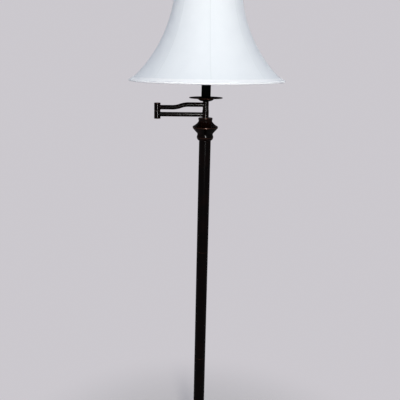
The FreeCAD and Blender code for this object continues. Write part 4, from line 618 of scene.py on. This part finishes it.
def bell_arcs():
    """The bell's meridian as four arcs that meet smoothly, each (centre radius, centre height above
    the rim, radius, lean at its start, lean at its end). The kick is an arc of its own bend. Two arcs
    of equal tangent length join it to the waist, where the curve is upright: that length t solves
    |chord - t (run + up)| = 2 t. The last arc flares to the top."""
    kick_r = RIM_RADIUS - KICK_WIDTH + KICK_BEND * math.cos(SKIRT_LEAN)
    rim_lean = math.acos((kick_r - RIM_RADIUS) / KICK_BEND)
    kick_h = KICK_BEND * math.sin(rim_lean)
    normal = (math.cos(SKIRT_LEAN), math.sin(SKIRT_LEAN))
    start_r, start_h = kick_r - KICK_BEND * normal[0], kick_h - KICK_BEND * normal[1]
    waist_h = SHADE_HEIGHT - TOP_FLARE
    across, along = WAIST_RADIUS - start_r, waist_h - start_h
    sum_r, sum_h = -normal[1], normal[0] + 1
    a = sum_r**2 + sum_h**2 - 4
    b = -2 * (across * sum_r + along * sum_h)
    c = across**2 + along**2
    root = math.sqrt(b * b - 4 * a * c)
    tangent = max((-b - root) / (2 * a), (-b + root) / (2 * a))
    dr = (across - tangent * normal[1]) / 2
    dh = (along + tangent * (normal[0] - 1)) / 2
    low = (dr**2 + dh**2) / (2 * (dr * normal[0] + dh * normal[1]))
    join_lean = math.atan2(low * normal[1] - dh, low * normal[0] - dr)
    er, eh = dr - across, dh - along
    high = (er**2 + eh**2) / (2 * er)
    flare_r = TOP_RADIUS - WAIST_RADIUS
    flare = (flare_r**2 + TOP_FLARE**2) / (2 * flare_r)
    return [
        (kick_r, kick_h, KICK_BEND, rim_lean, SKIRT_LEAN),
        (start_r + low * normal[0], start_h + low * normal[1], low, SKIRT_LEAN, join_lean),
        (WAIST_RADIUS + high, waist_h, high, join_lean, 0.0),
        (WAIST_RADIUS + flare, waist_h, flare, 0.0, -math.asin(TOP_FLARE / flare)),
    ]


ARCS = bell_arcs()
# The lowest point of the cloth's box is its inner corner, so the rim's outer edge lies above it.
RIM_Z = CLOTH_LOW.z + CLOTH_THICKNESS * math.sin(ARCS[0][3])
ARC_LENGTHS = np.array([arc[2] * (arc[3] - arc[4]) for arc in ARCS])
MERIDIAN = float(ARC_LENGTHS.sum())


def bell(along, proud):
    """Radius and level of the bell at a length along its meridian from the rim, moved out by proud.
    On each arc the lean falls by length over radius, and the point lies at the arc's radius, less
    proud, from its centre, against the direction (cos lean, sin lean). Beyond either end the end
    arc goes on."""
    ends = np.cumsum(ARC_LENGTHS)
    which = np.clip(np.searchsorted(ends, along), 0, len(ARCS) - 1)
    starts = np.concatenate([[0.0], ends[:-1]])
    centre_r, centre_h, radius, lean_start, _ = np.array(ARCS).T[:, which]
    lean = lean_start - (along - starts[which]) / radius
    reach = radius - proud
    return centre_r - reach * np.cos(lean), RIM_Z + centre_h - reach * np.sin(lean)


SEAM_STEPS = 18
SEAM_CROWD = 2.2  # power that crowds the columns of a gore towards its seams
CLOTH_ROWS = 120
GORE_FLATNESS = 0.04  # share of a gore's sagitta that its tension takes out
RING_HOLD = 0.16  # share of the meridian over which a ring holds the cloth round
SEAM_RIDGE = 0.00028
SEAM_RIDGE_WIDTH = 0.0030
SEAM_CREASE = 0.00042
SEAM_CREASE_WIDTH = 0.0007
# width of the painted shade line along each seam
SEAM_SHADE_WIDTH = 0.0011
GORE_SPACING = 0.2  # between the gores' middles in the flat cut


def smooth(value, low, high):
    """Smooth step of an array."""
    t = np.clip((value - low) / (high - low), 0.0, 1.0)
    return t * t * (3 - 2 * t)


def gore_angles():
    """Angles round the shade and each one's distance from the middle of its gore, crowded towards
    the seams by a power law."""
    half = math.pi / GORES
    off_seam = half * (np.arange(SEAM_STEPS + 1) / SEAM_STEPS) ** SEAM_CROWD
    one = np.concatenate([off_seam[:-1], 2 * half - off_seam[:0:-1]])
    seams = 2 * half * np.arange(GORES)[:, None]
    return (seams + one[None, :]).ravel(), np.tile(one - half, GORES)


def make_shade_cloth():
    """The cloth as a closed sheet: outer and inner face of the bell. A gore is drawn in towards its
    chord, most at its middle and not at all at the rings, and each seam is a low ridge with a
    narrow crease. The cut coordinates are the gore's own: across it at true length, and along the
    meridian."""
    angle, off_middle = gore_angles()
    columns = len(angle)
    along = np.linspace(0.0, MERIDIAN, CLOTH_ROWS)[:, None]
    flat_radius = bell(along[:, 0], 0.0)[0][:, None]
    half = math.pi / GORES
    sagitta = flat_radius * (1 - math.cos(half) / np.cos(off_middle[None, :]))
    held = smooth(along, 0.0, RING_HOLD * MERIDIAN) * smooth(MERIDIAN - along, 0.0, RING_HOLD * MERIDIAN)
    to_seam = flat_radius * (half - np.abs(off_middle))[None, :]
    ridge = SEAM_RIDGE * np.exp(-((to_seam / SEAM_RIDGE_WIDTH) ** 2))
    crease = SEAM_CREASE * np.exp(-((to_seam / SEAM_CREASE_WIDTH) ** 2))
    proud = ridge - crease - GORE_FLATNESS * sagitta * held
    layers = []
    for depth in (0.0, CLOTH_THICKNESS):
        radius, level = bell(np.broadcast_to(along, proud.shape).ravel(), (proud - depth).ravel())
        spin = np.tile(angle, CLOTH_ROWS)
        layers.append(np.stack([radius * np.cos(spin), radius * np.sin(spin), level], axis=-1))
    outer, inner = (layer.reshape(CLOTH_ROWS, columns, 3) for layer in layers)
    points = np.concatenate([outer, inner[::-1]]).reshape(-1, 3)
    faces = ring_faces(2 * CLOTH_ROWS, columns)
    run = np.concatenate([along[:, 0], along[::-1, 0]])
    wide = np.concatenate([flat_radius[:, 0], flat_radius[::-1, 0]])
    gore = (faces[:, [0]] % columns) // (columns // GORES)
    vertex_row = faces // columns
    turn = angle[faces % columns] - (2 * half * gore + half)
    turn = (turn + math.pi) % (2 * math.pi) - math.pi
    cut = np.stack([wide[vertex_row] * turn + GORE_SPACING * gore, run[vertex_row]], axis=-1)
    made = new_piece("shade_cloth", points, faces, SHADE_CLOTH, "shade", cut)
    # painted shade: a faint darker line along each seam's crease, kept as a mask on the mesh
    line = np.exp(-((to_seam / SEAM_SHADE_WIDTH) ** 2))
    mask = made.data.attributes.new(SEAM_SHADE_MASK, "FLOAT", "POINT")
    mask.data.foreach_set("value", np.concatenate([line, line[::-1]]).astype(np.float32).ravel())
    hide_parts("shade_fabric")
    return made


def closed_curve(corners, steps):
    """Closed Catmull-Rom curve through the corners, with so many points to each span."""
    p = np.asarray(corners, float)
    t = np.linspace(0.0, 1.0, steps, endpoint=False)[None, :, None]
    before, start, end, after = (np.roll(p, k, axis=0)[:, None, :] for k in (1, 0, -1, -2))
    curve = 2 * start + (end - before) * t + (2 * before - 5 * start + 4 * end - after) * t**2
    curve = curve + (3 * start - before - 3 * end + after) * t**3
    return (curve / 2).reshape(-1, 2)


TRIM_COLUMNS = 288
TRIM_STEPS = 4
BAND_WAVER = 0.00006


def make_trim(name, section, edge, upward, wave, node):
    """A folded band carried round the bell's edge. Its section is a closed curve of (length from the
    edge along the meridian, distance outside the cloth). Its loose edge wavers by the sum of three
    sines round the shade, and puckers by a finer sine of three columns to a wave, both growing with
    a smooth step from the middle of the band."""
    curve = closed_curve(section, TRIM_STEPS)
    spin = 2 * math.pi * np.arange(TRIM_COLUMNS) / TRIM_COLUMNS
    waver = wave * (np.sin(5 * spin + 0.7) + 0.6 * np.sin(11 * spin + 2.1) + 0.4 * np.sin(23 * spin))
    pucker = 0.4 * wave * np.sin(TRIM_COLUMNS / 3 * spin)
    length = curve[:, [0]]
    top_share = smooth(length, 0.5 * length.max(), length.max())
    along = edge + upward * (length + waver[None, :] * top_share)
    proud = curve[:, [1]] + pucker[None, :] * top_share
    shape = along.shape
    radius, level = bell(along.ravel(), proud.ravel())
    radius, level = radius.reshape(shape), level.reshape(shape)
    points = np.stack([radius * np.cos(spin), radius * np.sin(spin), level], axis=-1).reshape(-1, 3)
    faces = ring_faces(len(curve), TRIM_COLUMNS)
    if upward < 0:
        faces = faces[:, ::-1]
    edges = np.linalg.norm(np.roll(curve, -1, axis=0) - curve, axis=1)
    run = np.concatenate([[0.0], np.cumsum(edges)])
    row, column = faces // TRIM_COLUMNS, faces % TRIM_COLUMNS
    wrapped = (row == 0) & (row.max(axis=1) == len(curve) - 1)[:, None]
    last = (column == 0) & (column.max(axis=1) == TRIM_COLUMNS - 1)[:, None]
    around = np.where(last, 2 * math.pi, spin[column]) * float(radius.mean())
    cut = np.stack([around, np.where(wrapped, run[-1], run[row])], axis=-1)
    made = new_piece(name, points, faces, TRIM_CLOTH, "shade", cut)
    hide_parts(node)
    return made


BAND_BOTTOM = [
    (0.0124, 0.00030),
    (0.0138, 0.00095),
    (0.0144, 0.00150),
    (0.0136, 0.00195),
    (0.0108, 0.00180),
    (0.0060, 0.00155),
    (0.0030, 0.00160),
    (0.0008, 0.00175),
    (-0.0008, 0.00110),
    (-0.0015, -0.00050),
    (-0.0008, -0.00240),
    (0.0010, -0.00395),
    (0.0032, -0.00450),
    (0.0052, -0.00360),
    (0.0066, -0.00190),
    (0.0070, -0.00060),
]
BAND_TOP = [
    (0.0106, 0.00030),
    (0.0118, 0.00085),
    (0.0123, 0.00135),
    (0.0116, 0.00175),
    (0.0090, 0.00165),
    (0.0050, 0.00145),
    (0.0024, 0.00165),
    (0.0004, 0.00195),
    (-0.0014, 0.00120),
    (-0.0022, -0.00060),
    (-0.0018, -0.00270),
    (0.0000, -0.00440),
    (0.0028, -0.00490),
    (0.0048, -0.00380),
    (0.0059, -0.00180),
    (0.0062, -0.00060),
]

shade_cloth = make_shade_cloth()
trim_bottom = make_trim("shade_band_bottom", BAND_BOTTOM, 0.0, 1, BAND_WAVER, "shade_trim_bottom")
trim_top = make_trim("shade_band_top", BAND_TOP, MERIDIAN, -1, BAND_WAVER, "shade_trim_top")

STITCH_LENGTH = 0.0026
STITCH_RADIUS = 0.00022
STITCH_PITCH = 0.0036
STITCH_ROWS = 5
STITCH_SIDES = 6
STITCH_BOTTOM_UP = 0.0116  # from the rim along the meridian
STITCH_BOTTOM_PROUD = 0.00187
STITCH_TOP_DOWN = 0.0097  # from the top edge along the meridian
STITCH_TOP_PROUD = 0.00171
LEAN_STEP = 0.001  # length over which the cloth's lean is measured


def make_stitches(name, along, proud):
    """Running stitch round a band: each stitch is a short six-sided thread, thick at its middle and
    sinking at both ends, as half a sine over its length. Two quads close each end."""
    radius, level = (float(v[0]) for v in bell(np.array([along]), np.array([proud])))
    other = [float(v[0]) for v in bell(np.array([along + LEAN_STEP]), np.array([proud]))]
    lean = math.atan2(radius - other[0], other[1] - level)
    count = int(2 * math.pi * radius / STITCH_PITCH)
    middle = 2 * math.pi * np.arange(count) / count
    share = np.linspace(0.0, 1.0, STITCH_ROWS)
    turn = 2 * math.pi * np.arange(STITCH_SIDES) / STITCH_SIDES
    swell = np.sin(math.pi * share)
    thick = STITCH_RADIUS * (0.25 + 0.75 * swell)
    out = STITCH_RADIUS * (1.2 * swell - 1.0)
    angle = middle[:, None, None] + ((share - 0.5) * STITCH_LENGTH / radius)[None, :, None]
    side = (thick[:, None] * np.cos(turn)[None, :])[None]
    rise = out[None, :, None] + (thick[:, None] * np.sin(turn)[None, :])[None]
    r = radius + rise * math.cos(lean) - side * math.sin(lean)
    z = level + rise * math.sin(lean) + side * math.cos(lean)
    r, z, angle = np.broadcast_arrays(r, z, angle)
    points = np.stack([r * np.cos(angle), r * np.sin(angle), z], axis=-1)
    ring, corner = np.divmod(np.arange((STITCH_ROWS - 1) * STITCH_SIDES), STITCH_SIDES)
    here = ring * STITCH_SIDES + corner
    beside = ring * STITCH_SIDES + (corner + 1) % STITCH_SIDES
    walls = np.stack([here, beside, beside + STITCH_SIDES, here + STITCH_SIDES], axis=-1)
    first_end = np.array([(3, 2, 1, 0), (0, 5, 4, 3)])
    last_end = (STITCH_ROWS - 1) * STITCH_SIDES + np.array([(0, 1, 2, 3), (3, 4, 5, 0)])
    one = np.concatenate([walls, first_end, last_end])
    starts = STITCH_ROWS * STITCH_SIDES * np.arange(count)
    faces = (one[None] + starts[:, None, None]).reshape(-1, 4)
    return new_piece(name, points.reshape(-1, 3), faces, THREAD, "shade")


stitches_bottom = make_stitches("shade_stitches_bottom", STITCH_BOTTOM_UP, STITCH_BOTTOM_PROUD)
stitches_top = make_stitches("shade_stitches_top", MERIDIAN - STITCH_TOP_DOWN, STITCH_TOP_PROUD)

FILLET = 0.0011
FILLET_SINK = 0.0004
FILLET_STEPS = 8
FILLET_COLUMNS = 48


def make_fillet(name, body, barrel_x, barrel_radius, arm_z, towards):
    """Brazed fillet where an arm's tube meets an upright barrel. Round the tube by an angle, and along
    a quarter circle from the tube's wall to the barrel's: the distance from the tube's axis grows by
    the fillet while the distance from the barrel's wall falls to nothing. The section is closed by a
    corner sunk in the metal."""
    turn = np.linspace(0.0, math.pi / 2, FILLET_STEPS)
    reach = np.concatenate([ARM_RADIUS + FILLET * (1 - np.sin(turn)), [ARM_RADIUS - FILLET_SINK]])
    away = np.concatenate([FILLET * (1 - np.cos(turn)), [-FILLET_SINK]])
    spin = 2 * math.pi * np.arange(FILLET_COLUMNS) / FILLET_COLUMNS
    y = reach[:, None] * np.sin(spin)[None, :]
    z = arm_z + reach[:, None] * np.cos(spin)[None, :]
    wall = np.sqrt(np.maximum(barrel_radius**2 - y**2, 0.0))
    x = barrel_x + towards * (wall + away[:, None])
    faces = ring_faces(len(reach), FILLET_COLUMNS)
    if towards < 0:
        faces = faces[:, ::-1]
    points = np.stack([x, y, z], axis=-1).reshape(-1, 3)
    return new_piece(name, points, faces, PLAIN_BRONZE, body)


LOWER_ARM_Z = (LOWER_ARM_LOW.z + LOWER_ARM_HIGH.z) / 2
UPPER_ARM_POST_Z = UPPER_ARM_HIGH.z - ARM_RADIUS
UPPER_ARM_ELBOW_Z = UPPER_ARM_LOW.z + ARM_RADIUS
make_fillet("fillet_lower_post", "lower_arm", 0.0, LOWER_POST_RADIUS, LOWER_ARM_Z, -1)
make_fillet("fillet_lower_elbow", "lower_arm", ELBOW_X, ELBOW_RADIUS, LOWER_ARM_Z, 1)
make_fillet("fillet_upper_post", "upper_arm", 0.0, UPPER_POST_RADIUS, UPPER_ARM_POST_Z, -1)
make_fillet("fillet_upper_elbow", "upper_arm", ELBOW_X, ELBOW_RADIUS, UPPER_ARM_ELBOW_Z, 1)

# ================================================================ studio
BACKGROUND = (0.60, 0.58, 0.615, 1.0)
AMBIENT = (0.81, 0.865, 1.0, 1.0)
AMBIENT_STRENGTH = 0.48


def make_world():
    """Pale to the camera, in reflections and through glass, and a soft even light to everything else."""
    world = bpy.data.worlds.new("studio")
    world.use_nodes = True
    tree = world.node_tree
    tree.nodes.clear()
    path = put(tree, "ShaderNodeLightPath")
    seen = maths(tree, "MAXIMUM", path.outputs["Is Camera Ray"], path.outputs["Is Glossy Ray"])
    seen = maths(tree, "MAXIMUM", seen, path.outputs["Is Transmission Ray"])
    light = put(tree, "ShaderNodeBackground", {"Color": AMBIENT, "Strength": AMBIENT_STRENGTH})
    pale = put(tree, "ShaderNodeBackground", {"Color": BACKGROUND, "Strength": 1.0})
    mixed = put(tree, "ShaderNodeMixShader", {0: seen, 1: light.outputs[0], 2: pale.outputs[0]})
    put(tree, "ShaderNodeOutputWorld", {"Surface": mixed.outputs[0]})
    bpy.context.scene.world = world


FLOOR_RADIUS = 9.0
FLOOR_CLEAR = 0.30  # out to here the floor is lit and shows the shadow
FLOOR_FADE = 0.75  # from here it has the background's even tone
FLOOR_FAR_RING = 3.0
FLOOR_HOLE = 0.0001
FLOOR_DROP = 0.0002  # below the felt
FLOOR_COLUMNS = 96
FLOOR_TONE = (0.84, 0.79, 0.76, 1.0)


def make_floor():
    """Round floor as flat rings about the pole's axis, lit near the lamp and passing into the
    background's tone further out."""
    spin = 2 * math.pi * np.arange(FLOOR_COLUMNS) / FLOOR_COLUMNS
    rings = np.array([FLOOR_HOLE, FLOOR_CLEAR, FLOOR_FADE, FLOOR_FAR_RING, FLOOR_RADIUS])
    x = np.outer(rings, np.cos(spin))
    y = np.outer(rings, np.sin(spin))
    points = np.stack([x, y, np.full_like(x, -FLOOR_DROP)], axis=-1).reshape(-1, 3)
    faces = ring_faces(len(rings), FLOOR_COLUMNS)[: (len(rings) - 1) * FLOOR_COLUMNS, ::-1]
    mesh = bpy.data.meshes.new("floor")
    mesh.from_pydata(points.tolist(), [], faces.tolist())
    floor = bpy.data.objects.new("floor", mesh)
    bpy.context.scene.collection.objects.link(floor)
    made, tree, shader, place = new_material("floor", Roughness=0.9, Specular_IOR_Level=0.1)
    shader.inputs["Base Color"].default_value = FLOOR_TONE
    split = put(tree, "ShaderNodeSeparateXYZ", {"Vector": place})
    from_lamp = diagonal(tree, split.outputs["X"], split.outputs["Y"])
    far = step_between(tree, from_lamp, FLOOR_CLEAR, FLOOR_FADE)
    path = put(tree, "ShaderNodeLightPath")
    seen = maths(tree, "MAXIMUM", path.outputs["Is Camera Ray"], path.outputs["Is Glossy Ray"])
    even = put(tree, "ShaderNodeEmission", {"Color": BACKGROUND, "Strength": 1.0})
    share = maths(tree, "MULTIPLY", far, seen)
    mixed = put(tree, "ShaderNodeMixShader", {0: share, 1: shader.outputs[0], 2: even.outputs[0]})
    tree.links.new(mixed.outputs[0], tree.nodes["Material Output"].inputs["Surface"])
    mesh.materials.append(made)


def area_light(name, place, target, size, watts, colour=(1.0, 1.0, 1.0), shine_only=False):
    """Light of that width and height, aimed at a point. One for shine only adds its highlight and
    leaves the light on pale surfaces as it is."""
    lamp = bpy.data.lights.new(name, "AREA")
    lamp.shape = "RECTANGLE"
    lamp.size, lamp.size_y = size
    lamp.energy = watts
    lamp.color = colour
    holder = bpy.data.objects.new(name, lamp)
    bpy.context.scene.collection.objects.link(holder)
    holder.location = place
    holder.visible_camera = False
    holder.visible_diffuse = not shine_only
    holder.rotation_mode = "QUATERNION"
    holder.rotation_quaternion = (Vector(target) - Vector(place)).to_track_quat("-Z", "Y")


LIGHT_TARGET = (0.0, 0.0, CAP_HIGH.z)
make_world()
make_floor()
area_light("key", (0.13, -2.1, 1.75), LIGHT_TARGET, (0.25, 0.25), 25.5, (1.0, 0.99, 0.93))
area_light("fill", (-0.1, -1.6, 2.7), LIGHT_TARGET, (1.6, 1.6), 5.0, (0.96, 0.98, 1.0))
area_light("shine_high", (0.17, -1.3, 1.66), LIGHT_TARGET, (0.08, 0.08), 42.0, shine_only=True)
area_light("shine_low", (0.16, -2.0, 0.98), LIGHT_TARGET, (0.05, 0.20), 22.0, shine_only=True)

# ================================================================ camera
FRAME_PIXELS = 400
CAMERA_ASIDE = -0.0875
CAMERA_BACK = 1.555
CAMERA_ABOVE_CAP = 0.159
CAMERA_PITCH = math.radians(14.03)
CAMERA_ROLL = math.radians(0.58)
FOCAL_PIXELS = 573.4
SENSOR = 36.0
AXIS_PIXEL_X = 172.2  # column of the picture that the camera points at


def make_camera():
    """Camera at the photograph's place: level sideways but for a small roll, and pitched down."""
    data = bpy.data.cameras.new("camera")
    data.sensor_width = SENSOR
    data.lens = FOCAL_PIXELS * SENSOR / FRAME_PIXELS
    data.shift_x = (FRAME_PIXELS / 2 - AXIS_PIXEL_X) / FRAME_PIXELS
    data.clip_start = 0.05
    data.clip_end = 60.0
    camera = bpy.data.objects.new("camera", data)
    bpy.context.scene.collection.objects.link(camera)
    tilt = Matrix.Rotation(math.pi / 2 - CAMERA_PITCH, 4, "X")
    roll = Matrix.Rotation(CAMERA_ROLL, 4, "Z")
    place = Matrix.Translation((CAMERA_ASIDE, -CAMERA_BACK, CAP_HIGH.z + CAMERA_ABOVE_CAP))
    camera.matrix_world = place @ tilt @ roll
    bpy.context.scene.camera = camera


make_camera()
bpy.context.scene.view_settings.view_transform = "Standard"
